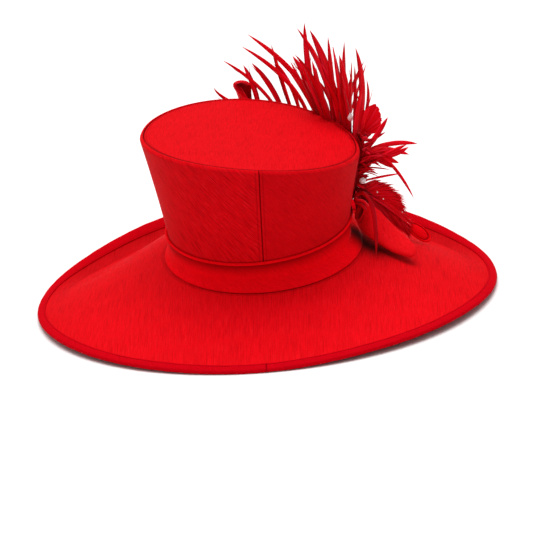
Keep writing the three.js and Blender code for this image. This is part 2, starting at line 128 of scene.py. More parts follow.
# ---- numbers and frames --------


def unit(v):
    return v / np.maximum(np.linalg.norm(v, axis=-1, keepdims=True), 1e-12)


def lerp(a, b, t):
    return a + (b - a) * t


def smoothstep(x, low, high):
    t = np.clip((np.asarray(x, float) - low) / (high - low), 0, 1)
    return t * t * (3 - 2 * t)


def bell(x, width):
    return np.exp(-(x / width) ** 2)


def spline(a, b, c, d, t):
    """A smooth curve from b to c that heads in from a and out to d."""
    return b + 0.5 * t * (c - a + t * (2 * a - 5 * b + 4 * c - d + t * (3 * (b - c) + d - a)))


def out_from(angle):
    """Level directions away from the crown's middle."""
    return np.stack([np.cos(angle), np.sin(angle), 0 * angle], -1)


def outwards(degrees):
    return out_from(np.radians(degrees))


def turn_from(angle, at):
    """The turn from one angle to the other, at most half way round."""
    return (angle - at + math.pi) % TAU - math.pi


def in_head_frame(points):
    """From the head frame, whose XY plane holds the crown's foot, to the rest frame."""
    pitch, roll = math.radians(HEAD["front_up"]), math.radians(HEAD["right_down"])
    turn = Matrix.Rotation(roll, 3, "Y") @ Matrix.Rotation(pitch, 3, "X")
    return points @ np.array(turn).T + (HEAD["x"], HEAD["y"], HEAD["z"])


def oval_point(oval, angle, height, grow=0.0):
    x, y, half_width, length = oval
    full = length + 2 * grow
    reach = np.where(np.sin(angle) < 0, BACK_SHARE, 1 - BACK_SHARE) * full
    return np.stack(np.broadcast_arrays(
        x + (half_width + grow) * np.cos(angle),
        y + (BACK_SHARE - 0.5) * full + reach * np.sin(angle), height), -1)


def round_table(table, angle):
    """A smooth periodic curve through a value every 30 degrees from the back."""
    table = np.array(table, float)
    place = (np.degrees(angle) + 90) / 360 % 1 * len(table)
    row = np.floor(place).astype(int)
    return spline(*(table[(row + k) % len(table)] for k in (-1, 0, 1, 2)), place - row)


def along_table(values, t):
    """A smooth curve through evenly spaced values, at the shares t."""
    v = np.array([values[0], *values, values[-1]], float)
    place = np.clip(np.asarray(t, float), 0, 1) * (len(v) - 3)
    k = np.minimum(place.astype(int), len(v) - 4)
    return spline(*(v[k + j] for j in range(4)), place - k)


def smooth_rows(controls, parts):
    """Rows of points through control rows, each gap cut into that many parts."""
    c = np.concatenate([controls[:1], controls, controls[-1:]])
    rows = [spline(*c[k:k + 4], j / cut) for k, cut in enumerate(parts) for j in range(cut)]
    return np.stack([*rows, controls[-1]])


def seam_height(x, y, angle):
    return (TIP["height"] - TIP["fall_right"] * x - TIP["fall_front"] * y
            - TIP["saddle"] * np.cos(2 * angle))


def seam_at(angle, grow=0.0, rise=0.0):
    """The line where the tip meets the side, in the head frame."""
    line = oval_point(SEAM, angle, 0.0)
    point = oval_point(SEAM, angle, 0.0, grow)
    point[..., 2] = seam_height(line[..., 0], line[..., 1], angle) + rise
    return point


def wall_point(angle, share, grow=0.0):
    """The crown wall's outside at a share of the way from its foot to its shoulder."""
    low = oval_point(FOOT, angle, CLEAR, grow)
    high = seam_at(angle, SHOULDER + grow, -SHOULDER)
    share = np.asarray(share, float)[..., None]
    return lerp(low, high, share) - out_from(angle) * (4 * WAIST * share * (1 - share))


def wall_at_height(angle, height, grow=0.0):
    angle = np.asarray(angle, float)
    top = wall_point(angle, 1.0)[..., 2]
    return wall_point(angle, (height - CLEAR) / (top - CLEAR), grow)


def brim_point(angle, share):
    """The middle of the brim's cloth, from the band's foot to the binding's outer edge."""
    inner = in_head_frame(oval_point(BAND_FOOT, angle, -CLOTH / 2))
    outer = oval_point(BRIM_EDGE, angle, round_table(EDGE, angle))
    share = np.asarray(share, float)
    point = lerp(inner, outer, share[..., None])
    dip = np.where(share < TROUGH_AT, 0.5 - 0.5 * np.cos(math.pi * share / TROUGH_AT),
                   np.cos(math.pi / 2 * (share - TROUGH_AT) / (1 - TROUGH_AT)))
    point[..., 2] -= round_table(TROUGH, angle) * dip
    return point


def share_from_edge(angle, distance):
    width = np.linalg.norm(brim_point(angle, 1.0) - brim_point(angle, 0.0), axis=-1)
    return 1 - distance / width


def brim_offset(angle, share, offset):
    """A point above or below the middle of the brim's cloth, square to it."""
    along = brim_point(angle, share + 0.005) - brim_point(angle, share - 0.005)
    sideways = np.stack([-np.sin(angle), np.cos(angle), 0 * angle], -1)
    offset = np.asarray(offset, float)[..., None]
    return brim_point(angle, share) + unit(np.cross(along, sideways)) * offset


def mount_point(degrees, height, beyond=0.0):
    """A place on the outer face of the mount's backing, or beyond it, in the head frame."""
    return wall_at_height(np.radians(degrees), height, BACKING["gap"] + BACKING["cloth"] + beyond)


def below_seam(degrees, drop):
    return seam_at(np.radians(np.asarray(degrees, float)))[..., 2] - drop


def run_of(line):
    """The running length along a line of points."""
    return np.concatenate([[0], np.cumsum(np.linalg.norm(np.diff(line, axis=0), axis=1))])


def at_run(values, run, where):
    return np.stack([np.interp(where, run, values[:, k]) for k in range(3)], -1)


def resampled(points, count):
    """Points at even steps along a dense line."""
    run = run_of(points)
    return at_run(points, run, run[-1] * np.linspace(0, 1, count))


def bezier(a, b, c, count):
    t = np.linspace(0, 1, 200)[:, None]
    return resampled((1 - t) ** 2 * a + 2 * t * (1 - t) * b + t * t * c, count)


def bowed(start, end, bow, count):
    """A line that bows out by half of bow on its way."""
    return bezier(start, lerp(start, end, 0.5) + bow, end, count)


def centripetal(points, count):
    """A centripetal Catmull-Rom curve through the points, sampled evenly."""
    p = np.array(points, float)
    p = np.vstack([2 * p[0] - p[1], p, 2 * p[-1] - p[-2]])
    gap = np.diff(p, axis=0)
    step = [max(np.linalg.norm(g), 1e-6) ** 0.5 for g in gap]
    t = np.linspace(0, 1, 60, endpoint=False)[:, None]
    line = []
    for k in range(1, len(p) - 2):
        t0, t1, t2 = step[k - 1:k + 2]
        leave = (gap[k - 1] / t0 - (p[k + 1] - p[k - 1]) / (t0 + t1) + gap[k] / t1) * t1
        arrive = (gap[k] / t1 - (p[k + 2] - p[k]) / (t1 + t2) + gap[k + 1] / t2) * t1
        line.append(p[k] + leave * t + (3 * gap[k] - 2 * leave - arrive) * t ** 2
                    + (-2 * gap[k] + leave + arrive) * t ** 3)
    line.append(p[-2:-1])
    return resampled(np.vstack(line), count)


RIPPLE_WAVES = 5


def ripple(x, y, seed):
    """A gentle seeded sum of waves, about -1 to 1, over two coordinates."""
    rng = np.random.default_rng(seed)
    total = 0
    for _ in range(RIPPLE_WAVES):
        turn, phase = rng.uniform(0, TAU, 2)
        total = total + np.sin((x * math.cos(turn) + y * math.sin(turn)) * rng.uniform(0.7, 1.4)
                               + phase)
    return total / RIPPLE_WAVES ** 0.5


# ---- meshes --------


class Shape:
    """Closed solids gathered into one mesh. Beside its place, each corner holds where it lies on
    the cloth (thread: two coordinates across the threads and one along them, in mm), its tone from
    0, dark, to 1, and how strongly the slubs show. The tone carries painted shade and painted
    highlights as well as the cloth's own variation."""

    def __init__(self):
        self.points, self.faces, self.thread, self.tone, self.slub = [], [], [], [], []
        self.count = 0

    def add(self, points, faces, thread, tone, slub):
        """Faces have four corners; a triangle's last is given twice. thread is given per vertex, or
        per corner of each face; tone and slub per vertex. Faces that point inwards are turned over.
        """
        tri = np.vstack([faces[:, [0, 1, 2]], faces[:, [0, 2, 3]]])
        a, b, c = (points[tri[:, k]] for k in range(3))
        if thread.ndim == 2:
            thread = thread[faces]
        if np.einsum("ij,ij->", a - points[0], np.cross(b - points[0], c - points[0])) < 0:
            faces, thread = faces[:, ::-1], thread[:, ::-1]
        self.points.append(points)
        self.faces.append(faces + self.count)
        self.thread.append(thread.reshape(-1, 3))
        for kept, value in ((self.tone, tone), (self.slub, slub)):
            kept.append(np.broadcast_to(np.ravel(value), len(points)))
        self.count += len(points)

    def ring(self, rows, thread, tone=1.0, slub=0.5):
        """A ring closed both ways, from (rows, columns) points. thread has one more of each."""
        m, n = rows.shape[:2]
        r, c = np.meshgrid(np.arange(m), np.arange(n), indexing="ij")
        corners = [(r, c), (r, c + 1), (r + 1, c + 1), (r + 1, c)]
        faces = np.stack([i % m * n + j % n for i, j in corners], -1).reshape(-1, 4)
        at = np.stack([thread[i, j] for i, j in corners], 2).reshape(-1, 4, 3)
        self.add(rows.reshape(-1, 3), faces, at, tone, slub)

    def tube(self, rings, thread, tone=1.0, slub=0.5):
        """A closed tube of (steps, section) points, with both ends capped."""
        m, n = rings.shape[:2]
        points = np.vstack([rings.reshape(-1, 3), rings[0].mean(0), rings[-1].mean(0)])
        at = np.vstack([thread.reshape(-1, 3), thread[0].mean(0), thread[-1].mean(0)])
        r, c = np.meshgrid(np.arange(m - 1), np.arange(n), indexing="ij")
        quads = np.stack([r * n + c, r * n + (c + 1) % n, (r + 1) * n + (c + 1) % n,
                          (r + 1) * n + c], -1).reshape(-1, 4)
        k, last = np.arange(n), (m - 1) * n
        first_cap, last_cap = np.full(n, m * n), np.full(n, m * n + 1)
        start = np.stack([(k + 1) % n, k, first_cap, first_cap], -1)
        end = np.stack([last + k, last + (k + 1) % n, last_cap, last_cap], -1)
        if np.ndim(tone):
            tone = np.broadcast_to(np.asarray(tone, float).reshape(m, -1), (m, n))
            tone = np.concatenate([tone.ravel(), [tone[0].mean(), tone[-1].mean()]])
        self.add(points, np.vstack([quads, start, end]), at, tone, slub)

    def make(self, name, material, slot, replaced=(), sharp=None):
        corners = np.concatenate(self.faces)
        kept = np.ones(corners.shape, bool)
        kept[:, 3] = corners[:, 2] != corners[:, 3]
        faces = [f if f[2] != f[3] else f[:3] for f in corners.tolist()]
        mesh = bpy.data.meshes.new(name)
        mesh.from_pydata((np.concatenate(self.points) * MM).tolist(), [], faces)
        layer = mesh.attributes.new("Thread", "FLOAT_VECTOR", "CORNER")
        thread = np.concatenate(self.thread)[kept.ravel()]
        layer.data.foreach_set("vector", thread.astype(np.float32).ravel())
        for attribute, values in (("Tone", self.tone), ("Slub", self.slub)):
            layer = mesh.attributes.new(attribute, "FLOAT", "POINT")
            layer.data.foreach_set("value", np.concatenate(values).astype(np.float32))
        mesh.shade_smooth()
        if sharp is not None:
            mesh.set_sharp_from_angle(angle=math.radians(sharp))
        mesh.materials.append(material)
        piece = bpy.data.objects.new(name, mesh)
        bpy.context.scene.collection.objects.link(piece)
        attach(piece, "root")
        if replaced:
            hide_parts(*replaced)
        return piece


def run_along(rows, axis):
    """Mean running length of a grid of points along one axis, one longer for the closing step."""
    closed = np.concatenate([rows, rows.take([0], axis=axis)], axis=axis)
    steps = np.linalg.norm(np.diff(closed, axis=axis), axis=-1).mean(1 - axis)
    return np.concatenate([[0], np.cumsum(steps)])


def bias_thread(rows):
    """Cloth coordinates of a ring cut on the bias: threads run down to the right, from outside."""
    u, v = np.meshgrid(run_along(rows, 1), run_along(rows, 0))
    return np.stack([u + v, 0 * u, u - v], -1) * math.sqrt(0.5)


def straight_thread(rows):
    """Cloth coordinates of a ring whose threads all run from front to back."""
    closed = np.pad(rows, ((0, 1), (0, 1), (0, 0)), mode="wrap")
    return closed[..., [0, 2, 1]] * (1.5, 0.0, 0.6)


# ---- materials --------


class Graph:
    """A new material, with short calls for its nodes."""

    def __init__(self, name):
        self.material = bpy.data.materials.new(name)
        self.material.use_nodes = True
        self.tree = self.material.node_tree
        self.tree.nodes.clear()
        out = self.tree.nodes.new("ShaderNodeOutputMaterial")
        self.shader = self.tree.nodes.new("ShaderNodeBsdfPrincipled")
        self.tree.links.new(self.shader.outputs[0], out.inputs[0])

    def feed(self, node, inputs):
        for key, value in inputs.items():
            if isinstance(value, bpy.types.NodeSocket):
                self.tree.links.new(value, node.inputs[key])
            else:
                node.inputs[key].default_value = value

    def node(self, kind, inputs=(), **settings):
        node = self.tree.nodes.new(kind)
        for key, value in settings.items():
            setattr(node, key, value)
        self.feed(node, dict(inputs))
        return node

    def place(self):
        return self.node("ShaderNodeTexCoord").outputs["Object"]

    def attribute(self, name, output="Fac"):
        return self.node("ShaderNodeAttribute", attribute_name=name).outputs[output]

    def noise(self, place, scale, detail=2.0, roughness=0.5):
        mapped = self.node("ShaderNodeMapping", {"Vector": place, "Scale": scale})
        return self.node("ShaderNodeTexNoise", {
            "Vector": mapped.outputs[0], "Scale": 1.0, "Detail": detail,
            "Roughness": roughness}).outputs[0]

    def math(self, operation, a, b):
        return self.node("ShaderNodeMath", {0: a, 1: b}, operation=operation).outputs[0]

    def times(self, a, b):
        return self.math("MULTIPLY", a, b)

    def ranged(self, value, low, high, to_low=0.0, to_high=1.0):
        return self.node("ShaderNodeMapRange", {"Value": value, "From Min": low, "From Max": high,
                                                "To Min": to_low, "To Max": to_high}).outputs[0]

    def mix(self, factor, a, b, blend="MIX"):
        return self.node("ShaderNodeMix", {0: factor, 6: a, 7: b}, data_type="RGBA",
                         blend_type=blend).outputs[2]

    def toned(self, body):
        tone = self.attribute("Tone")
        grey = self.node("ShaderNodeCombineColor", {0: tone, 1: tone, 2: tone}).outputs[0]
        return self.mix(1.0, body, grey, "MULTIPLY")

    def finish(self, body, roughness, height=None, depth=0.0, **fixed):
        """Wire the shader. fixed holds the uniform inputs, spelt with _ for a space."""
        self.feed(self.shader, {"Base Color": body, "Roughness": roughness})
        self.feed(self.shader, {key.replace("_", " "): value for key, value in fixed.items()})
        if height is not None:
            bump = self.node("ShaderNodeBump", {"Height": height, "Strength": 0.5,
                                                "Distance": depth})
            self.feed(self.shader, {"Normal": bump.outputs[0]})
        return self.material


def silk_material(name, colour, deep, light, slubs=1.0, gloss=0.02):
    """Dupion: fine crossed threads, uneven slubs along the weft, soft mottling, and the Tone
    attribute's painted shade in creases and painted highlights.
    """
    g = Graph(name)
    thread, slub = g.attribute("Thread", "Vector"), g.attribute("Slub")
    weft = g.noise(thread, (1.5, 1.5, 0.16), 3, 0.65)
    warp = g.noise(thread, (0.2, 0.2, 1.6), 3, 0.6)
    streak = g.noise(thread, (1.35, 1.35, 0.045))
    hair = g.noise(thread, (2.6, 2.6, 0.09))
    patch = g.noise(thread, (0.045, 0.045, 0.03), 3, 0.55)
    grain = g.math("ADD", g.times(weft, 0.62), g.times(warp, 0.38))
    body = g.mix(g.ranged(grain, 0.34, 0.58, 0.45, 1.0), deep, colour)
    body = g.mix(g.ranged(patch, 0.42, 0.70, 0.0, 0.14), body, deep)
    # dark slubs, fine dark hairs and fine light ones: noise, from, to, weight, colour
    for lines, low, high, weight, shade in ((streak, 0.47, 0.39, 0.9, deep),
                                            (hair, 0.45, 0.34, 0.6, deep),
                                            (hair, 0.57, 0.68, 0.45, light)):
        drawn = g.times(g.ranged(lines, low, high), slub)
        body = g.mix(g.times(drawn, weight * slubs), body, shade)
    height = g.math("ADD", grain, g.times(g.ranged(streak, 0.55, 0.78), slub))
    return g.finish(g.toned(body), g.ranged(grain, 0.3, 0.7, 0.78, 0.58), height, 0.0002,
                    Specular_IOR_Level=gloss, Sheen_Weight=0.008, Sheen_Roughness=0.35,
                    Sheen_Tint=(1.0, 0.25, 0.25, 1))


def feather_material(name, colour, deep, light):
    """Dyed feather: barbs as fine streaks along each lock, some of them darker or lighter."""
    g = Graph(name)
    thread = g.attribute("Thread", "Vector")
    barbs = g.noise(thread, (2.4, 2.4, 0.07), 3, 0.6)
    broad = g.noise(thread, (0.75, 0.75, 0.02))
    body = g.mix(g.ranged(barbs, 0.36, 0.60, 0.35, 1.0), deep, colour)
    body = g.mix(g.ranged(broad, 0.46, 0.36, 0.0, 0.7), body, deep)
    body = g.mix(g.ranged(broad, 0.54, 0.64, 0.0, 0.8), body, light)
    return g.finish(g.toned(body), g.ranged(barbs, 0.3, 0.7, 0.60, 0.38), barbs, 0.00025,
                    Specular_IOR_Level=0.12, Specular_Tint=(1.0, 0.35, 0.4, 1))


def glass_material():
    g = Graph("glass_clear")
    cloud = g.noise(g.place(), (900, 900, 900))
    body = g.mix(g.ranged(cloud, 0.4, 0.6), (0.93, 0.91, 0.92, 1), (1.0, 1.0, 1.0, 1))
    return g.finish(body, g.ranged(cloud, 0.35, 0.65, 0.02, 0.08), Transmission_Weight=0.06,
                    IOR=1.55, Specular_IOR_Level=0.5)


# each with its main colour, its deep one and its light one; the cloths also with slubs and gloss
SILK = silk_material("silk", (0.78, 0.0022, 0.0068, 1), (0.44, 0.0003, 0.0024, 1),
                     (0.95, 0.022, 0.034, 1))
SILK_BAND = silk_material("silk_band", (0.95, 0.0012, 0.0062, 1), (0.56, 0.0003, 0.0030, 1),
                          (1.0, 0.014, 0.024, 1), 0.6, 0.015)
SILK_FOLD = silk_material("silk_fold", (0.62, 0.0005, 0.0066, 1), (0.38, 0.0002, 0.0036, 1),
                          (0.80, 0.008, 0.020, 1), 0.6, 0.008)
SILK_PETAL = silk_material("silk_petal", (0.97, 0.0055, 0.0110, 1), (0.62, 0.0014, 0.0050, 1),
                           (1.0, 0.040, 0.055, 1), 0.8)
THREAD = silk_material("sewing_thread", (0.55, 0.001, 0.006, 1), (0.38, 0.0004, 0.003, 1),
                       (0.8, 0.006, 0.016, 1), 0.4)
FEATHER = feather_material("feather", (0.98, 0.0012, 0.011, 1), (0.58, 0.0003, 0.004, 1),
                           (1.0, 0.012, 0.046, 1))
HACKLE = feather_material("hackle", (1.0, 0.0012, 0.011, 1), (0.78, 0.0004, 0.005, 1),
                          (1.0, 0.016, 0.050, 1))
GLASS = glass_material()

# ---- crown --------

SEAM_TURN = math.radians(-90 + 5.1)         # the back seam of the crown's side, at its foot
SEAM_LEAN = math.radians(2.2)               # and how far it has moved to the right at the top
WALL_RADIUS, WALL_FLARE = 84.5, 19.4        # the wall's radius at that seam, and its growth upwards
FURROW_LEFT, FURROW_RIGHT = -3.3, 3.1       # the two rows of stitches beside the seam
GROOVE_AT = 0.974                           # the groove round the tip, as a share of its radius
FINE = 28                                   # closer columns on each side of a seam

# the back seam's groove, turned allowance and furrows: height, place and width
SEAM_RELIEF = ((-0.75, 0, 0.42), (0.42, 1.25, 0.62), (0.22, -1.5, 1.1), (-0.22, FURROW_LEFT, 0.42),
               (-0.20, FURROW_RIGHT, 0.42))


def around_from(start, count, fine_step=0.0):
    """Angles once round from start. With a fine step, columns lie closer on both sides of it."""
    even = start + np.linspace(0, TAU, count, endpoint=False)
    if not fine_step:
        return even
    even = even[np.abs(turn_from(even, start)) > (FINE + 1) * fine_step]
    near = start + np.arange(-FINE, FINE + 1) * fine_step
    return np.sort(np.concatenate([even, start + (near - start) % TAU]))


def wall_radius(share):
    return WALL_RADIUS + WALL_FLARE * share


def seam_lean(angle, share):
    """The angle with the columns near the seam sheared to follow it."""
    return angle + SEAM_LEAN * share * bell(turn_from(angle, SEAM_TURN), 0.8)


def crown_side():
    angle = around_from(SEAM_TURN, 300, 0.0022)[None, :]
    shares = np.concatenate([[0, 0.1, 0.18], np.linspace(0.22, 1, 46)])[:, None]
    beside = turn_from(angle, SEAM_TURN) * wall_radius(shares)
    relief = sum(high * bell(beside - at, width) for high, at, width in SEAM_RELIEF)
    relief = relief + 0.30 * ripple(angle * 3.0, shares * 5.0, 11) * smoothstep(shares, 0.1, 0.4)
    wall = wall_point(seam_lean(angle, shares), shares + 0 * angle, relief)

    angle = seam_lean(angle, 1.0)
    turns = np.linspace(0, math.pi / 2, 12)[1:, None]
    radius = SHOULDER + 0.75 * bell(turns - 1.25, 0.35) + relief[-1] * np.cos(turns)
    arc = seam_at(angle + 0 * turns, radius * np.cos(turns), radius * np.sin(turns) - SHOULDER)
    lip = [seam_at(angle, grow, rise) for grow, rise in (
        (-0.12, 0.1), (-0.2, -0.7), (-0.2, -CLOTH), (SHOULDER - CLOTH, -SHOULDER))]
    down = np.linspace(0.97, 0, 12)[:, None]
    inside = wall_point(angle + 0 * down, down + 0 * angle, -CLOTH)
    rows = np.concatenate([wall, arc, *lip, inside])

    # painted shade: the panel right of the seam is darker, as are the wall's upper part, the seam's
    # groove, the furrows and the cleft at the lip, the cleft less so on the far side; painted
    # highlights lie on the shoulder's roll and on the ridge beside the seam
    n, top = len(wall), len(wall) + len(arc)
    turn = beside[0] / WALL_RADIUS
    panel_shade = smoothstep(turn, -0.02, 0.02) - smoothstep(turn, 2.2, 3.1)
    tone = np.ones(rows.shape[:2]) * (0.97 - 0.09 * panel_shade)
    tone[:n] -= 0.05 * smoothstep(shares, 0.5, 1.0)
    tone[:n] -= (0.70 * bell(beside, 0.55) + 0.22 * bell(beside - FURROW_LEFT, 0.7)
                 + 0.14 * bell(beside - FURROW_RIGHT, 0.6))
    tone[n:top] = tone[n - 1] * (1 + 0.26 * bell(turns - 0.9, 0.45))
    far = smoothstep(np.sin(angle[0]), 0.1, 0.6)
    tone[top - 2:top + 3] *= lerp(np.array((1.0, 0.85, 0.4, 0.35, 0.35))[:, None], 0.95, far)
    tone[:n] += 0.10 * bell(beside - 1.3, 0.5)
    slubs = np.full(rows.shape[:2], 0.3)
    slubs[:n] = np.clip(0.5 + 0.55 * smoothstep(-beside, 1, 4) * (1 - smoothstep(-beside, 55, 120)),
                        0, 1.05)
    slubs[n:top] = slubs[n - 1]
    shape = Shape()
    shape.ring(in_head_frame(rows), bias_thread(rows), tone, slubs)
    return shape.make("crown_side_cover", SILK, "silk", ("crown_side",))


def tip_ring(angle, share, grow=-CLEAR, drop=0.0):
    """A ring of the tip's top, whose height is the seam's at its rim."""
    middle = np.array([SEAM[0], SEAM[1], 0.0])
    point = lerp(middle, oval_point(SEAM, angle, 0.0, grow), np.asarray(share, float)[..., None])
    point[..., 2] = (TIP["height"] - TIP["fall_right"] * point[..., 0]
                     - TIP["fall_front"] * point[..., 1]
                     - TIP["saddle"] * share ** 2 * np.cos(2 * angle)
                     + TIP["dome"] * (1 - share ** 2)) - drop
    return point


def crown_tip():
    angle = around_from(SEAM_TURN, 300)[None, :]
    share = np.concatenate([[0.02], np.linspace(0.06, 0.945, 42),
                            [0.955, 0.963, 0.968, GROOVE_AT, 0.98]])[:, None]
    top = tip_ring(angle + 0 * share, share + 0 * angle, drop=0.22 * bell(share - GROOVE_AT, 0.006))
    top[..., 2] += 0.35 * ripple(top[..., 0] / 26, top[..., 1] / 26, 5) * (1 - share ** 4)
    rim = np.stack([tip_ring(angle[0], np.ones_like(angle[0]), grow, drop) for grow, drop in (
        (-1.2, 0.03), (-0.85, 0.12), (-0.56, 0.36), (-0.36, 0.85), (-0.32, 1.4), (-CLEAR, CLOTH))])
    back = np.array([0.9, 0.6, 0.3, 0.02])[:, None]
    under = tip_ring(angle + 0 * back, back + 0 * angle, drop=CLOTH)
    rows = np.concatenate([top, rim, under])

    # painted shade in the groove round the tip, and in the cleft round the rim: deep at the back,
    # where the lip stands over it, and light in front
    n = len(top)
    near = smoothstep(-np.sin(angle[0]), 0.1, 0.7)
    far = smoothstep(np.sin(angle[0]), 0.1, 0.6)
    tone = np.ones(rows.shape[:2])
    tone[:n] -= 0.10 * bell(share - GROOVE_AT, 0.008)
    tone[n - 1] = 0.9 - 0.5 * near
    tone[n:] = 0.35 + 0.45 * far
    tone[n:n + 2] = (np.array([[0.75], [0.45]]) - [[0.4], [0.15]] * near + [[0.15], [0.35]] * far)
    shape = Shape()
    shape.tube(in_head_frame(rows), rows[..., [0, 2, 1]] * (1.5, 0, 0.8), tone, 0.55)
    return shape.make("crown_tip_cover", SILK, "silk", ("crown_tip",))


# ---- stitches --------

STITCH_SHARE = 0.72      # of the pitch; the rest is the gap to the next stitch
# a stitch's stations along half its length, its size there, and how deep it sinks
STITCH_SPOTS = np.array([-1, -0.8, -0.35, 0.35, 0.8, 1])
STITCH_SIZE = np.array([0.12, 0.72, 1, 1, 0.72, 0.12])
STITCH_SINK = np.array([0.9, 0.35, 0, 0, 0.35, 0.9])


def stitches(shape, path, normal, pitch, radius, closed=True):
    """Short sunk threads along a line of points, each lying on the cloth whose normal is given."""
    if closed:
        path, normal = np.vstack([path, path[:1]]), np.vstack([normal, normal[:1]])
    run = run_of(path)
    count = int(run[-1] / pitch)
    at = (np.arange(count) + 0.5) * run[-1] / count
    centre, up = at_run(path, run, at), unit(at_run(normal, run, at))
    along = unit(at_run(path, run, np.minimum(at + 0.3, run[-1]))
                 - at_run(path, run, np.maximum(at - 0.3, 0)))
    turn = np.linspace(0, TAU, 6, endpoint=False)
    spots = (STITCH_SPOTS * (pitch * STITCH_SHARE / 2))[:, None]
    size = STITCH_SIZE[:, None]
    centre, along, up = (v[:, None, None] for v in (centre, along, up))
    grid = (centre + along * spots[..., None]
            + up * (radius * (np.sin(turn) * size - STITCH_SINK[:, None]))[..., None]
            + np.cross(along, up) * (radius * np.cos(turn) * size)[..., None])
    thread = np.stack(np.broadcast_arrays(turn * radius, 0.0, spots), -1)
    for k, one in enumerate(grid):
        shape.tube(one, thread + (k * 3.7, 0, k * 1.3))


def crown_stitches():
    shape = Shape()
    share = np.linspace(0.27, 0.985, 160)
    for offset in (FURROW_LEFT, FURROW_RIGHT):
        angle = SEAM_TURN + SEAM_LEAN * share + offset / wall_radius(share)
        path = wall_point(angle, share, 0.02)
        stitches(shape, in_head_frame(path), out_from(angle) - (0, 0, 0.12), 2.3, 0.24,
                 closed=False)
    angle = np.linspace(0, TAU, 500, endpoint=False)
    path = tip_ring(angle, np.full_like(angle, GROOVE_AT), drop=0.16)
    stitches(shape, in_head_frame(path), np.broadcast_to((0.15, -0.02, 1.0), path.shape), 2.6, 0.22)
    return shape.make("crown_topstitches", THREAD, "silk_fold")


# ---- band --------

BAND_JOIN = math.radians(20)
# painted shade in the rows under the band's roll, upwards: how much darker each row is
ROLL_SHADE_ROWS = slice(18, 34)
ROLL_SHADE = (0.0, 0.02, 0.05, 0.09, 0.14, 0.19, 0.25, 0.31,
          0.38, 0.44, 0.49, 0.53, 0.54, 0.44, 0.18, 0.0)


def petal_shade(points):
    """Painted shadow on the cloth in the pocket under the folded petal, by its distance in plan."""
    shift = np.linspace(-0.25, 0.2, len(FOLDED_LOW))[:, None]
    under = in_head_frame(resampled(FOLDED_LOW + shift * (FOLDED_HIGH - FOLDED_LOW), 30))
    gaps = np.linalg.norm(points[..., None, :2] - under[:, :2], axis=-1)
    along = gaps.argmin(-1) / (len(under) - 1)
    return 1 - 0.92 * bell(gaps.min(-1), 15) * (1 - smoothstep(along, 0.35, 0.8))


def hat_band():
    angle = around_from(BAND_JOIN, 360)[None, :]
    top = BAND_HEIGHT + BAND_RISE * oval_point(FOOT, angle, 0.0)[..., 0]

    def wall(height, grow):
        return wall_at_height(angle, height, grow)[0]

    def foot(height, grow):
        return oval_point(BAND_FOOT, angle, height, grow)[0]

    sway = 0.35 * ripple(angle * 5, angle * 0, 3)
    controls = np.stack([
        foot(CLEAR + 0.1, -1.4), foot(0.5, -0.25), foot(1.3, -0.1), foot(2.6, -0.9),
        foot(5.2, -3.2), wall(9, 3.7 + 0.3 * sway), wall(14, 2.9 + 0.4 * sway),
        wall(top - 9.5, 1.9 + 0.3 * sway), wall(top - 5.5, 1.3), wall(top - 3.5, 1.35),
        wall(top - 2.7, 1.9), wall(top - 2.2, 2.7), wall(top - 1.2, 3.0), wall(top - 0.3, 2.3),
        wall(top, 1.3), wall(top - 0.7, 0.5)])
    outer = smooth_rows(controls, [2, 2, 2, 3, 4, 5, 5, 4, 3, 2, 2, 3, 3, 3, 2])
    inner = np.stack([wall(top - 8, 1.5 * CLEAR), wall(10, 1.5 * CLEAR), foot(3.5, -3.9)])
    rows = np.concatenate([outer, inner])
    run = run_along(rows, 0)[:-1][:, None]
    drag = 0.16 * ripple((angle * BAND_FOOT[2] + run) / 4.5, run / 9, 8)
    drag[:6] = 0
    drag[len(outer) - 3:] = 0
    rows = rows + out_from(angle) * drag[..., None]

    tone = np.ones(rows.shape[:2])
    tone[ROLL_SHADE_ROWS] -= 1.15 * np.array(ROLL_SHADE)[:, None]
    # painted light on the band's left and right sides; painted shade along its foot, but on the
    # left; and the painted shadow of the petal
    left, right = (smoothstep(side * np.cos(angle), 0.35, 0.8) for side in (-1, 1))
    tone += 0.08 * left + 0.08 * right
    tone[:3] = lerp(0.3, 0.95, left)
    rest = in_head_frame(rows)
    shape = Shape()
    shape.ring(rest, bias_thread(rows), tone * petal_shade(rest), 0.55)
    return shape.make("hat_band_fold", SILK_BAND, "silk_fold", ("hat_band",))


# ---- brim --------

BINDING_JOIN = math.radians(-88)
BINDING_RADIUS = 214         # the brim's radius at that join
BINDING_STITCHED = 7.5       # the stitches' distance in from the edge


def above_floor(points, low=0.0):
    points[..., 2] = np.maximum(points[..., 2], low)
    return points


def brim():
    angle = around_from(BINDING_JOIN, 420)[None, :]
    edge = share_from_edge(angle, 2.6)
    shares = np.concatenate([np.linspace(0, 0.86, 56)[:, None] + 0 * angle,
                             lerp(0.86, edge, np.linspace(0.12, 1, 12)[:, None])])
    wave = 0.35 * ripple(angle * 4 + 0 * shares, shares * 6, 21)
    wave = wave * smoothstep(shares, 0.05, 0.3) * (1 - smoothstep(shares, 0.85, 0.95))
    above = brim_offset(angle + 0 * shares, shares, CLOTH / 2 + wave)
    few = shares[::4][::-1]
    below = brim_offset(angle + 0 * few, few, -CLOTH / 2)
    flange = [in_head_frame(oval_point(FOOT, angle, height, -CLOTH)) for height in (-CLOTH, 0.0)]
    rows = above_floor(np.concatenate([above, below, *flange]))

    # painted shade: the trough's turned-up outer slope, the rows at the band's foot and the pocket
    # under the petal are darker; painted light brightens the back half
    n = len(above)
    tone = 1.0 + 0.08 * smoothstep(-np.sin(angle), 0.3, 0.8) + np.zeros(rows.shape[:2])
    tone[:2] = 0.85
    turned_up = np.clip(round_table(TROUGH, angle) / 14, 0, 1) * smoothstep(shares, 0.775, 0.81)
    tone[:n] *= (1 - 0.27 * turned_up) * petal_shade(above)
    shape = Shape()
    shape.ring(rows, straight_thread(rows), tone, 0.65)
    return shape.make("brim_cover", SILK, "silk", ("brim",))


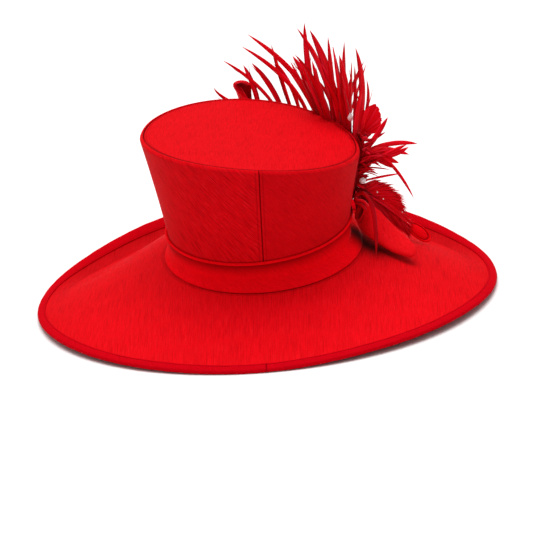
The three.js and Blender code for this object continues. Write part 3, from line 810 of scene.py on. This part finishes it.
def binding_profile():
    """Distance in from the edge and offset from the brim's middle, all round the strip."""
    outer, inner = CLOTH / 2 + 1.15, CLOTH / 2 + 0.12
    turn = np.radians(np.linspace(-90, 90, 13))
    nose = np.stack([2.3 - 2.3 * np.cos(turn), outer * np.sin(turn)], -1)
    half = [(3.6, outer + 0.04), (5.0, outer + 0.05), (6.2, outer), (7.0, outer - 0.16),
            (BINDING_STITCHED, outer - 0.30), (8.0, outer - 0.10), (8.6, outer - 0.10),
            (8.95, outer - 0.42), (8.9, inner), (6.0, inner), (2.4, inner)]
    return np.array([*nose, *half, *((d, -o) for d, o in reversed(half))])


def brim_binding():
    angle = around_from(BINDING_JOIN, 620, 0.0006)
    profile = binding_profile()
    rows = np.stack([brim_offset(angle, share_from_edge(angle, d), np.full_like(angle, o))
                     for d, o in profile])
    beside = turn_from(angle, BINDING_JOIN) * BINDING_RADIUS
    dent = 0.5 * bell(beside, 0.5) + 0.14 * bell(beside - 2.4, 0.5)
    away = rows - brim_offset(angle, share_from_edge(angle, 4.0), 0 * angle)
    pull = np.linalg.norm(away, axis=-1, keepdims=True)
    inside = np.abs(profile[:, 1]) <= CLOTH / 2 + 0.2
    rows = rows - unit(away) * np.minimum(dent[:, None], 0.4 * pull) * ~inside[:, None, None]
    wave = 0.10 * ripple(angle[None, :] * 60, np.arange(len(rows))[:, None] * 0.2, 31)
    rows[:22, :, 2] += wave[:22]

    # painted shade along the stitch line, on the edges tucked against the brim, and in the dent at
    # the join
    tone = np.where(np.abs(profile[:, 0] - BINDING_STITCHED) < 0.3, 0.6, 1.0)
    tone[inside & (profile[:, 0] > 2.3)] = 0.35
    shape = Shape()
    rows = above_floor(rows)
    shape.ring(rows, bias_thread(rows), (1 - 0.45 * bell(beside, 0.7)) * tone[:, None], 0.45)
    return shape.make("brim_binding_strip", SILK_FOLD, "silk_fold", ("brim_binding",))


def binding_stitches():
    angle = np.linspace(0, TAU, 900, endpoint=False)
    share = share_from_edge(angle, BINDING_STITCHED)
    shape = Shape()
    for side in (1, -1):
        path = brim_offset(angle, share, side * (CLOTH / 2 + 0.98) + 0 * angle)
        normal = unit(path - brim_offset(angle, share, 0 * angle))
        stitches(shape, above_floor(path, 0.4), normal, 2.5, 0.26)
    return shape.make("binding_topstitches", THREAD, "silk_fold")


# ---- feathers --------

# a lock's section: shares of half its width and of its thickness, over the top and back under
LEAF = np.array([(1, 0), (0.55, 0.42), (0.12, 0.75), (-0.12, 0.75), (-0.55, 0.42), (-1, 0),
                 (-0.5, -0.35), (0.5, -0.35)])
HAIR = np.array([(1, 0), (0, 1), (-1, 0), (0, -1)])

SPLINTER_WIDTHS = np.array([1, 1, 0.95, 0.8, 0.6, 0.35, 0.1])
BARB_WIDTHS = np.array([0.6, 0.85, 1, 1, 1, 0.95, 0.85, 0.65, 0.4, 0.06])
LOWER_BARB_WIDTHS = np.array([0.6, 0.9, 1, 1, 1, 0.9, 0.7, 0.4, 0.06])

BALL_AT, BALL_RADIUS = np.array([98.5, 12.0, 54.5]), 3.3


def blade_widths(width, count):
    return width * np.interp(np.linspace(0, 1, count), [0, 0.12, 0.35, 0.6, 0.78, 0.91, 1],
                             [0.55, 0.85, 1.05, 1.06, 0.88, 0.52, 0.04])


def frames_along(middle, facing):
    along = unit(np.gradient(middle, axis=0))
    side = unit(np.cross(along, facing))
    return along, side, np.cross(side, along)


def fan_line(at, side, out, up, bow, count=26, height=None, inside=BLADE["inside"]):
    """A blade's line from its root in the backing to its tip, which is given from the root."""
    if height is None:
        height = below_seam(at, BLADE["below_seam"])
    root = mount_point(at, height, -inside)
    tip = root + (side, out, up)
    spring = BLADE["spring"] + BLADE["spring_per_side"] * abs(side)
    control = lerp(root, tip, 0.5) + outwards(at) * spring + (2 * bow, 0, 0)
    return bezier(root, control, tip, count)


def backing_low(degrees):
    return lerp(BACKING["low"], BACKING["low_at_end"], smoothstep(degrees, 18, 47))


class Feathers(Shape):
    """A shape of feather locks, drawn in the head frame. One seeded generator gives every draw."""

    def __init__(self, seed):
        super().__init__()
        self.rng = np.random.default_rng(seed)
        self.draw = self.rng.uniform

    def lock(self, line, facing, widths, thick, tone, section=LEAF, cup=0.0):
        """A flat tapering lock along a line. tone is at its root and at its tip."""
        side, face = frames_along(line, facing)[1:]
        half = np.maximum(np.broadcast_to(widths, len(line)), 0.12) / 2
        depth = np.minimum(thick, 2 * half)
        across = section[:, 0] * half[:, None]
        out = section[:, 1] * depth[:, None] + cup * (section[:, 0] ** 2) * half[:, None]
        rings = line[:, None] + side[:, None] * across[..., None] + face[:, None] * out[..., None]
        run = run_of(line)
        shift = self.draw(0, 500, 3)
        thread = np.stack(np.broadcast_arrays(across, out, run[:, None]), -1) + shift
        # painted shade on one half of the lock's width, as if that side were turned from the light
        shade = 1 - self.draw(0.0, 0.38) * smoothstep(section[:, 0] * self.rng.choice((-1, 1)),
                                                      -0.3, 0.5)
        tones = lerp(tone[0], tone[1], smoothstep(run / run[-1], 0, 0.42))
        self.tube(in_head_frame(rings), thread, tones[:, None] * shade)

    def blade(self, line, facing, width, thick, tone, section=LEAF, cup=0.0):
        """A lock with the outline of a stripped blade."""
        self.lock(line, facing, blade_widths(width, len(line)), thick, tone, section, cup)

    def facing(self, degrees, spread=0.35):
        """A blade's flat side, between straight out from the crown and the wearer's back."""
        return unit(outwards(degrees) * 0.45 + (0, -0.85, 0.1) + self.rng.normal(0, spread, 3))

    def between(self, rows, low, high):
        """A row of numbers at random between two neighbouring rows."""
        i = self.rng.integers(0, len(rows) - 1)
        a, b = np.array(rows[i]), np.array(rows[i + 1])
        return lerp(a, b, self.draw(low, high))

    def splinter(self, line, facing, width, tone):
        """A thin barb that leaves a blade's edge at a sharp angle."""
        along, side = frames_along(line, facing)[:2]
        k = int(self.draw(0.25, 0.8) * len(line))
        lean = self.rng.choice((-1, 1))
        length = self.draw(7, 20)
        start = line[k] + side[k] * lean * width * 0.3
        end = start + along[k] * length + side[k] * lean * length * self.draw(0.08, 0.22)
        self.lock(bowed(start, end, side[k] * lean * length * 0.03, 7), facing,
                  self.draw(0.5, 1.1) * SPLINTER_WIDTHS, 0.4, tone, HAIR)

    def sheet(self, grid, thick, thread, tone):
        """A thin curved sheet of (rows, columns) points, thickened into a solid."""
        normal = unit(np.cross(np.gradient(grid, axis=0), np.gradient(grid, axis=1)))
        front, back = grid + normal * thick / 2, grid - normal * thick / 2
        rings, thread, tone = (np.concatenate([one, other[:, ::-1]], axis=1) for one, other in (
            (front, back), (thread, thread), (tone, tone)))
        self.tube(in_head_frame(rings), thread, tone)

    def backing(self):
        degrees = np.linspace(BACKING["start"], BACKING["end"], 60)
        t = np.linspace(0, 1, 10)
        bulge = 0.5 * np.sin(math.pi * t) - 0.8
        tops = below_seam(degrees, BACKING["below_seam"])
        rings = []
        for d, low, top in zip(degrees, backing_low(degrees), tops):
            height = lerp(low, top, t)
            rings.append(np.concatenate([mount_point(d + 0 * t, height, bulge),
                                         mount_point(d + 0 * t, height[::-1], -BACKING["cloth"])]))
        rings = np.stack(rings)
        self.tube(in_head_frame(rings), rings, 0.35)

    def ruff(self):
        """Short feathers that fill the mount's right end, clear of the glass ball, toned dark as
        painted shade in the mount's nook.
        """
        draw = self.draw
        for _ in range(190):
            at = draw(9, 25)
            root = mount_point(at, draw(40, 92), 0.2)
            reach = draw(6, 15)
            aim = unit(outwards(at) + (0, draw(-0.9, 0.3), draw(-0.7, 1.0)))
            line = bowed(root, root + aim * reach, (0, 0, draw(-2, 3)), 9)
            if np.linalg.norm(line - BALL_AT, axis=1).min() < BALL_RADIUS + 2.5:
                continue
            aside = np.abs(line - BALL_AT)[:, [0, 2]].max(1)
            if (aside[line[:, 1] < BALL_AT[1]] < BALL_RADIUS + 1.5).any():
                continue
            self.blade(line, self.facing(at), draw(1.6, 3.6), 0.6, (0.2, draw(0.45, 0.9)), cup=0.12)
        for _ in range(70):
            root = mount_point(draw(12, 17), draw(43, 67), 0.3)
            tip = root + (draw(4, 15), draw(1, 6), draw(-4, 8))
            self.blade(bowed(root, tip, (0, 0, 2), 9), (0.1, -0.9, 0.4), draw(1.4, 2.8), 0.6,
                       (0.2, draw(0.3, 0.7)), cup=0.1)
        wire = bezier(mount_point(8.0, 52, 0.2), BALL_AT + (-3, 0, -1), BALL_AT + (-1, 0, 0), 8)
        self.lock(wire, (0, 0, 1), 0.9, 0.45, (0.5, 0.5), HAIR)
        for k in range(60):
            root = mount_point(draw(8.5, 13), draw(36, 46), 0.3)
            tip = np.array([draw(91, 96), draw(2, 9), draw(17, 36)] if k % 2 else
                           [draw(99, 108), draw(8, 18), draw(27, 40)])
            self.blade(bowed(root, tip, (2, 0, draw(0, 4)), 10), (0.15, -0.85, 0.5), draw(1.6, 3.0),
                       0.6, (0.12, draw(0.2, 0.42)), cup=0.1)


def feather_fan():
    shape = Feathers(41)
    draw = shape.draw
    shape.backing()
    for at, *way, width in FAN:
        line = fan_line(at, *way)
        facing = shape.facing(at, 0.07)
        shape.blade(line, facing, width * 1.08, 0.9, (0.62, draw(0.92, 1.0)), cup=0.12)
        shape.splinter(line, facing, 0.8 * width, (0.85, 0.95))
    # short blades among those on the right
    right = [row for row in sorted(FAN) if row[0] < 60]
    for _ in range(34):
        at, side, out, up, bow, width = shape.between(right, 0.1, 0.9)
        size = draw(0.45, 0.84)
        line = fan_line(np.clip(at + draw(-3, 3), 13, 60), side * size, out * draw(0.5, 1.2),
                        up * size, bow + draw(-2, 2), inside=draw(-0.4, 1.5))
        shape.blade(line, shape.facing(at, 0.15), draw(3.0, 5.0), 0.8, (0.6, draw(0.85, 1.0)),
                    cup=0.12)
    # fill feathers that hide the backing, the last of them along its foot
    for k in range(210):
        at = draw(BACKING["start"] + 1, BACKING["end"] - 2)
        low = backing_low(at)
        height = draw(low + 1, below_seam(at, 15) if k < 130 else low + 6)
        top = below_seam(at, lerp(-9.0, 2.0, float(smoothstep(at, 30, 60)))) - height
        line = fan_line(at, draw(-8, 4), draw(-3, 3), top * draw(0.6, 1.0), 0, 10, height, -0.3)
        line = line + outwards(at) * np.linspace(0, draw(1, 4), 10)[:, None]
        shape.blade(line, outwards(at), draw(2.5, 5), 0.6, (0.35, draw(0.6, 0.9)), cup=0.15)
    shape.ruff()
    return shape.make("feather_fan_blades", FEATHER, "feather", ("feather_fan",))


def feather_sprig():
    shape = Feathers(43)
    draw = shape.draw
    facing = unit((0.0, -0.85, 0.5))
    root = mount_point(SPRIG_AT, SPRIG_HEIGHT, CLEAR + 0.8)
    out = outwards(SPRIG_AT)
    heart = root + out * 4
    knot = root + out * np.linspace(0, 9, 10)[:, None]
    shape.lock(knot, facing, [5, 5.6, 6, 6, 5.8, 5.2, 4.6, 4, 3.2, 2.2], 3, (0.3, 0.5))
    for *way, lift, width in SPRIG:
        line = bowed(heart, heart + np.array(way), (0, 0, lift), 26)
        shape.blade(line, facing, width * 1.1, 0.9, (0.75, draw(0.94, 1.0)), cup=0.12)
    for start, tip, width in (((97, 14, 53), (135, 8, 61), 2.2),
                              ((108, 20, 69), (142, 18, 86), 4.2)):
        line = bowed(np.array(start), np.array(tip), (0, 0, 1.5), 20)
        shape.blade(line, facing, width, 0.8, (0.7, 1.0), cup=0.12)
    for _ in range(16):
        *way, lift, width = shape.between(SPRIG[:-1], 0, 1) * draw(0.35, 0.8)
        start = root + out * draw(1, 6) + (0, 0, draw(-7, 7))
        line = bowed(start, start + np.array(way), (0, 0, lift), 12)
        shape.blade(line, facing, draw(1.2, 2.8), 0.5, (0.5, draw(0.75, 0.95)))
    for _ in range(26):
        start = mount_point(draw(10, 15), draw(61, 76), 0.6)
        tip = start + (draw(12, 34), draw(-7, 2), draw(-6, 10))
        shape.blade(bowed(start, tip, (0, 0, draw(0, 4)), 12), facing, draw(0.8, 1.9), 0.5,
                    (0.45, draw(0.7, 0.95)), HAIR)
    return shape.make("feather_sprig_blades", FEATHER, "feather", ("feather_sprig",))


def curled_feather_right():
    """A shell-like curled feather: barbs spread from its root to a scalloped, rolled edge."""
    shape = Feathers(47)
    root = np.array([97.5, 47.0, 88.5])
    spread = np.radians((-4, 3, 12, 20, 31, 43, 52, 60, 67, 75, 83, 88))
    reach = (13, 18, 19.5, 21.5, 26, 29.5, 33, 35, 31.5, 24.5, 16, 9)
    turn = np.linspace(spread[0], spread[-1], 90)
    ragged = np.abs(np.sin(turn * 19)) ** 0.5 * 1.3 + np.abs(np.sin(turn * 47 + 1)) * 0.6
    length = (np.interp(turn, spread, reach)
              + (ragged - 1.2) * (1 - smoothstep(turn, spread[7], spread[8])))
    t = np.linspace(0.03, 1, 40)[:, None]
    bend = turn - 0.22 * (1 - t) ** 2 * np.cos(turn)
    share = (turn - spread[0]) / (spread[-1] - spread[0])
    depth = (-5.5 * np.sin(math.pi * share) * t + 3.5 * t ** 3
             - 2.5 * smoothstep(share, 0.7, 1.0) * t + 0.22 * np.sin(turn * 75) * t)
    grid = root + np.stack([t * length * np.cos(bend), depth, t * length * np.sin(bend)], -1)
    thread = np.stack(np.broadcast_arrays(turn * 26, 0.0, t * 30), -1)
    # darker towards the root, and painted shade in a band beside the rolled edge
    tone = lerp(0.75, 1.0, smoothstep(t, 0.05, 0.4)) * (0.97 + 0.03 * np.sin(turn * 31))
    shape.sheet(grid, 0.7, thread, tone * (1 - 0.12 * bell(share - 0.70, 0.05)))
    edge = resampled(grid[:, -16] + (0, -1.2, 0), 40)
    shape.lock(edge, (-0.4, -0.9, 0.2), np.interp(np.linspace(0, 1, 40), [0, 0.4, 0.85, 1],
                                                  [1.5, 5.0, 4.8, 0.8]), 2.4, (0.9, 1.0))
    stem = bezier(mount_point(24.0, 74, 0.4), root + (0, 0, -9), root + (0.4, 0, 1), 20)
    shape.lock(stem, (0.2, -0.9, 0.2), 2.0, 1.2, (0.4, 0.7))
    return shape.make("curled_feather_right_vane", HACKLE, "feather", ("curled_feather_right",))


def curled_feather_left():
    """A feather curled over into an open scroll at its tip."""
    shape = Feathers(53)
    turn = np.radians(np.linspace(292, 30, 80))
    t, share = np.linspace(0, 1, 34)[:, None], np.linspace(0, 1, 80)
    low = 90.0
    rim = along_table((104, 111, 116.5, 119.5, 120.5, 119.5, 116), share)
    z = lerp(low, rim + 0.4 * np.abs(np.sin(turn * 16)), t)
    radius = 8.8 - 1.4 * share + 0.14 * np.sin(turn * 60) + 1.8 * t ** 6 - 2.4 * (1 - t)
    grid = np.stack(np.broadcast_arrays(-12.4 - (z - low) * 0.10 + radius * np.cos(turn),
                                        130.0 + 0.8 * radius * np.sin(turn), z), -1)
    thread = np.stack(np.broadcast_arrays(share * 44, 0.0, t * 30), -1)
    # painted shade inside the scroll; darker towards the root
    inside = smoothstep(share, 0.5, 0.7) * (1 - smoothstep(t, 0.93, 1))
    shape.sheet(grid, 0.7, thread, lerp(0.8, 1.0, t) * (1 - 0.45 * inside))
    stem = bezier(mount_point(82.0, 80, 0.4), np.array([0, 130, 84]), np.array([-12, 130, 93]), 24)
    shape.lock(stem, (0.3, -0.85, 0.3), np.linspace(3, 6, 24), 1.6, (0.5, 0.8))
    return shape.make("curled_feather_left_vane", FEATHER, "feather", ("curled_feather_left",))


def hackle_plume():
    """A hackle feather: long soft barbs on one side of a light quill, short ones on the other."""
    shape = Feathers(59)
    draw = shape.draw
    barb_facing = (0.15, -0.85, 0.5)
    quill = centripetal([mount_point(13.0, 43, 1.0), (93, 18, 42.5), (104, 24, 33.5), (118, 30, 20),
                         (130, 35, 7), (142, 40, -7)], 80)
    tips = centripetal([(106, 27, 46.5), (114, 30, 45.5), (122, 32, 41.5), (128, 35, 36),
                        (133.5, 37, 28), (137, 39, 19.5), (138.5, 41, 10), (141, 43, -1),
                        (146, 45, -13)], 100)
    shape.lock(quill[:60] + (0, 4, -1), unit((0.4, -0.6, 0.6)), np.linspace(6, 2, 60), 3,
               (0.3, 0.5))
    for k in range(430):
        share, depth = draw(0, 1) ** 0.85, draw(0, 1)
        start = quill[int(4 + 38 * share * draw(0.6, 1.0))] + (0, 1 + 5 * depth, 0)
        end = tips[int(99 * np.clip(share + draw(-0.06, 0.06), 0, 1))] + (0, 6 * depth - 1, 0)
        end = lerp(start, end, draw(0.80, 1.0) if k % 12 else draw(1.02, 1.10))
        bow = (0, draw(-1, 1), np.linalg.norm(end - start) * draw(0.07, 0.13))
        # painted shade: barbs darker near the quill's root and deeper in the plume
        bright = lerp(0.85, 1.0, float(smoothstep(share, 0.1, 0.4))) * lerp(1.0, 0.85, depth)
        shape.lock(bowed(start, end, bow, 10), barb_facing, draw(1.1, 2.1) * BARB_WIDTHS, 0.5,
                   (0.5 * bright + 0.15, bright), HAIR)
    for _ in range(200):
        at = int(draw(6, 62))
        start = quill[at] + (0, 0.6, -0.4)
        end = quill[min(at + 24, 79)] + (draw(-2, 2), draw(1, 5), -draw(4, 16))
        shape.lock(bowed(start, end, (0, 0, -1.5), 9), barb_facing,
                   draw(0.9, 1.8) * LOWER_BARB_WIDTHS, 0.5, (0.4, draw(0.6, 0.9)), HAIR)
    shape.lock(quill[3:] + (0, -1.6, 0.6), (0.1, -0.9, 0.4), np.linspace(2.3, 1.3, 77), 1.2,
               (1.0, 1.0), HAIR)
    return shape.make("hackle_plume_barbs", HACKLE, "feather", ("hackle_plume",))


def drooping_blade():
    """A narrow blade looped over the folded petal, with short folded loops at its root."""
    shape = Feathers(61)
    line = centripetal([mount_point(9.5, 44, 1.2), (91.5, -3, 46), (94, -7, 49), (98.5, -10, 50.5),
                        (103, -15, 47.5), (106, -20, 41), (107.5, -25, 33), (108, -31, 23),
                        (108, -36, 12), (107.5, -39, 3), (107, -40, -3)], 80)
    widths = along_table((2.4, 3.4, 3.8, 4.2, 4.0, 3.2, 0.3), np.linspace(0, 1, 80))
    shape.lock(line, unit((0.25, -0.93, 0.25)), widths, 0.9, (0.7, 0.62), cup=0.15)
    for rise, run in ((-2.5, 1.0), (-6.0, -1.0)):
        loop = centripetal([mount_point(9.5, 43 + rise, 1.0), (92, -3, 44 + rise),
                            (97 + run, -5, 43 + rise), (101 + run, -5, 37 + rise)], 24)
        shape.lock(loop, unit((0.1, -0.6, 0.8)), 3.2, 1.2, (0.6, 0.85))
    return shape.make("drooping_blade_leaf", FEATHER, "feather", ("drooping_blade",))


# ---- petals --------

# the small petal: share of its half width, height over its middle, tone; from its face to its back.
# The tone is painted shade in the groove inside the piping and on the back
SMALL_PROFILE = (
    (0.03, 2.4, 1), (0.3, 2.3, 1), (0.52, 1.9, 1), (0.66, 1.3, 0.95), (0.745, 0.55, 0.45),
    (0.775, 0.45, 0.35), (0.81, 0.95, 0.8), (0.86, 1.55, 1), (0.92, 1.6, 1), (0.97, 1.15, 1),
    (1.0, 0.4, 0.9), (0.98, -0.5, 0.5), (0.92, -1.1, 0.4), (0.7, -1.7, 0.5), (0.35, -2.1, 0.5),
    (0.03, -2.2, 0.5))


def folded_petal():
    """A silk petal left open as a funnel at its root and padded flat towards its round tip."""
    middle, side = (FOLDED_LOW + FOLDED_HIGH) / 2, (FOLDED_HIGH - FOLDED_LOW) / 2
    face = unit(np.cross(np.gradient(middle, axis=0), side))
    face[0] = unit((0.86, -0.36, -0.35))
    face[1] = unit(face[0] * 0.45 + face[2] * 0.55)
    face = face * np.array(FOLDED_HALF)[:, None]
    rows = smooth_rows(np.stack([middle, side, face], 1), [10, 12, 12, 12, 12, 10, 6, 6])
    line, side, face = rows[:, 0], rows[:, 1], rows[:, 2]
    count, deepest = len(rows), 26
    turn = np.linspace(0, TAU, 72, endpoint=False)
    c, n = np.cos(turn), np.sin(turn)
    across, out = np.sign(c) * np.abs(c) ** 0.92, np.sign(n) * np.abs(n) ** 0.9

    def skin(k, shrink, back=0.0):
        """The ring at row k, drawn in by shrink all round and moved back towards the root."""
        return (line[k] + unit(line[0] - line[3]) * back
                + side[k] * (1 - shrink / np.linalg.norm(side[k])) * across[:, None]
                + face[k] * (1 - shrink / np.linalg.norm(face[k])) * out[:, None])

    well = line[deepest] + (skin(deepest, 1.6) - line[deepest]) * 0.1
    inner = [skin(k, 1.7) for k in range(deepest, -1, -1)]
    lip = [skin(0, 1.5, 0.9), skin(0, 0.8, 1.3), skin(0, 0.0, 1.0)]
    outer = [skin(k, 0.0) for k in range(count)]
    rings = np.stack([well, *inner, *lip, *outer])
    run = run_of(line)
    down = np.concatenate([[run[deepest] + 3], run[deepest::-1], [-1, -1.5, -1], run])[:, None]
    thread = np.stack(np.broadcast_arrays((14 * across + down) * 0.7, 6 * out,
                                          (14 * across - down) * 0.7), -1)
    # painted shade: deep inside the funnel and on the petal's underside, eased at the lip
    tone = np.concatenate([[0.3], np.linspace(0.3, 0.85, len(inner)), [0.95, 1, 1],
                           np.linspace(1, 0.9, count)])
    tone = tone[:, None] * (1 - 0.6 * smoothstep(-out, 0.1, 0.75))
    rim = slice(len(inner) - 2, len(inner) + 5)
    tone[rim] = np.maximum(tone[rim], 0.6)
    shape = Shape()
    shape.tube(in_head_frame(rings), thread * 1.3, tone, 0.8)
    piece = shape.make("folded_petal_silk", SILK_PETAL, "silk", ("folded_petal",))
    return piece


def small_petal():
    """A small padded petal with a piped edge, on a stem from the mount."""
    shape = Feathers(3)
    middle, long, wide = np.array(((148.8, 48.3, -16.8), (11.6, 1.5, -11.9), (4.0, 6.3, 2.4)))
    face = unit(np.cross(long, wide))
    turn = np.linspace(0, TAU, 72, endpoint=False)
    outline = (long * np.cos(turn)[:, None]
               + wide * (np.sin(turn) * (1 + 0.16 * np.cos(turn)))[:, None])
    share, height, tone = np.array(SMALL_PROFILE).T[..., None]
    rings = middle + outline * share[..., None] + (face * height)[:, None]
    thread = np.stack(np.broadcast_arrays(share * 17 * np.cos(turn), height,
                                          share * 8 * np.sin(turn)), -1)
    shape.tube(in_head_frame(rings), thread, tone, 0.3)
    stem = centripetal([mount_point(17.0, 40, 1.0), (112, 42, 26), (126, 46, 8),
                        middle - long * 0.97], 30)
    shape.lock(stem, face, np.linspace(3.0, 3.6, 30), 1.6, (0.8, 0.9))
    piece = shape.make("small_petal_silk", SILK_BAND, "silk", ("small_petal",))
    return piece


# ---- glass --------

# profiles of cut glass, as (radius, height): a stone of radius 1, and a drop of length 1
CUT = np.array(((0.02, -0.9), (0.55, -0.45), (0.97, -0.08), (1.0, 0.08), (0.78, 0.34), (0.55, 0.5),
                (0.02, 0.5)))
DROP = np.array(((0.02, 0), (0.5, 0.06), (0.85, 0.2), (1, 0.36), (0.92, 0.52), (0.66, 0.7),
                 (0.36, 0.84), (0.12, 0.96), (0.02, 1)))
DROP_RADIUS, DROP_LENGTH = 2.9, 8.6

# stones on wires in the mount: its angle, height and reach from the backing, and its radius
WIRED = (("glass_stone_1", 11.0, 47.5, 2, 1.5), ("glass_stone_2", 26.0, 88, 1, 1.4),
         ("glass_stone_3", 56.0, 99, 1, 1.4))
# stones on the plume: share of its length, distance across it, and radius
SEWN = (("glass_stone_4", 0.3, 2.0, 0.7), ("glass_stone_5", 0.42, 4.5, 0.75),
        ("glass_stone_6", 0.8, 1.0, 0.55))
PLUME_ROUTE = ((108, 26, 38), (120, 32, 25), (131, 37, 11), (141, 42, -2))

GOLDEN_TURN = 2.39996    # spreads the ball's stones evenly
BALL_STONES, BALL_STONE_RADIUS = 46, 0.62


def turned(profile, sides, centre, axis):
    """A faceted solid of rotation: (radius, height) pairs about an axis through centre."""
    axis = unit(axis)
    first = unit(np.cross(axis, (0.3, 0.8, 0.5)))
    second = np.cross(axis, first)
    turn = np.linspace(0, TAU, sides, endpoint=False)[:, None]
    out = first * np.cos(turn) + second * np.sin(turn)
    return np.stack([centre + axis * height + radius * out for radius, height in profile])


def glass_piece(name, node, parts):
    shape = Shape()
    for rings in parts:
        shape.tube(in_head_frame(rings), rings)
    return shape.make(name, GLASS, "cut_glass", (node,), sharp=12)


def stones():
    made = [(name, mount_point(at, height, radius + stands), radius, outwards(at))
            for name, at, height, stands, radius in WIRED]
    line = centripetal([mount_point(13.0, 43, CLEAR + 0.65), mount_point(13.0, 43, 4.0),
                        *PLUME_ROUTE], 400)
    for name, along, across, radius in SEWN:
        k = int(along * 399)
        tangent = unit(line[k + 1] - line[k - 1])
        side = unit(np.cross(tangent, (0.45, -0.6, 0.65)))
        face = np.cross(side, tangent)
        made.append((name, line[k] + side * across + face * (2.5 + CLEAR + radius), radius, face))
    for name, centre, radius, axis in made:
        glass_piece(name + "_cut", name, [turned(CUT * radius, 10, centre, axis)])


def glass_ball():
    turn = np.linspace(-math.pi / 2, math.pi / 2, 9)
    core = 0.82 * BALL_RADIUS * np.stack([np.cos(turn), np.sin(turn)], -1)
    core[:, 0] = np.maximum(core[:, 0], 0.02)
    parts = [turned(core, 12, BALL_AT, (0, 0, 1))]
    for k in range(BALL_STONES):
        z = 1 - 2 * (k + 0.5) / BALL_STONES
        across = math.sqrt(1 - z * z)
        axis = np.array([across * math.cos(k * GOLDEN_TURN), across * math.sin(k * GOLDEN_TURN), z])
        parts.append(turned(CUT * BALL_STONE_RADIUS, 6, BALL_AT + axis * BALL_RADIUS * 0.86, axis))
    glass_piece("glass_ball_pave", "glass_ball", parts)


def glass_drop():
    foot = (mount_point(25.0, below_seam(25.0, BLADE["below_seam"]), 3.0)
            + (-1.8, 1, 24.2 + CLEAR))
    glass_piece("glass_drop_cut", "glass_drop",
                [turned(DROP * (DROP_RADIUS, DROP_LENGTH), 10, foot, (0, 0, 1))])


# ---- the studio --------


def studio():
    bpy.ops.mesh.primitive_grid_add(x_subdivisions=8, y_subdivisions=8, size=60)
    floor = bpy.context.object
    floor.name = "floor"
    g = Graph("studio_floor")
    grain = g.noise(g.place(), (40, 40, 40))
    body = g.mix(g.ranged(grain, 0.3, 0.7), (0.93, 0.93, 0.93, 1), (0.95, 0.95, 0.95, 1))
    floor.data.materials.append(g.finish(body, 0.9, Specular_IOR_Level=0.1))

    world = bpy.data.worlds.new("studio")
    bpy.context.scene.world = world
    world.use_nodes = True
    back = world.node_tree.nodes["Background"]
    back.inputs["Color"].default_value = (1, 1, 1, 1)
    back.inputs["Strength"].default_value = 0.42

    # a soft key from above and behind the camera, and a wide top light: power, tilt, turn, angle
    for name, power, tilt, turn, angle in (("key", 2.2, -9, 10, 50), ("top", 0.55, 0, 0, 80)):
        data = bpy.data.lights.new(name, "SUN")
        data.energy, data.angle = power, math.radians(angle)
        light = bpy.data.objects.new(name, data)
        light.rotation_euler = (math.radians(tilt), 0, math.radians(turn))
        bpy.context.scene.collection.objects.link(light)
    bpy.context.scene.view_settings.view_transform = "Standard"


# ---- the hat --------

for build in (crown_side, crown_tip, crown_stitches, hat_band, brim, brim_binding, binding_stitches,
              feather_fan, feather_sprig, curled_feather_right, curled_feather_left, hackle_plume,
              drooping_blade, folded_petal, small_petal, stones, glass_ball, glass_drop, studio):
    build()
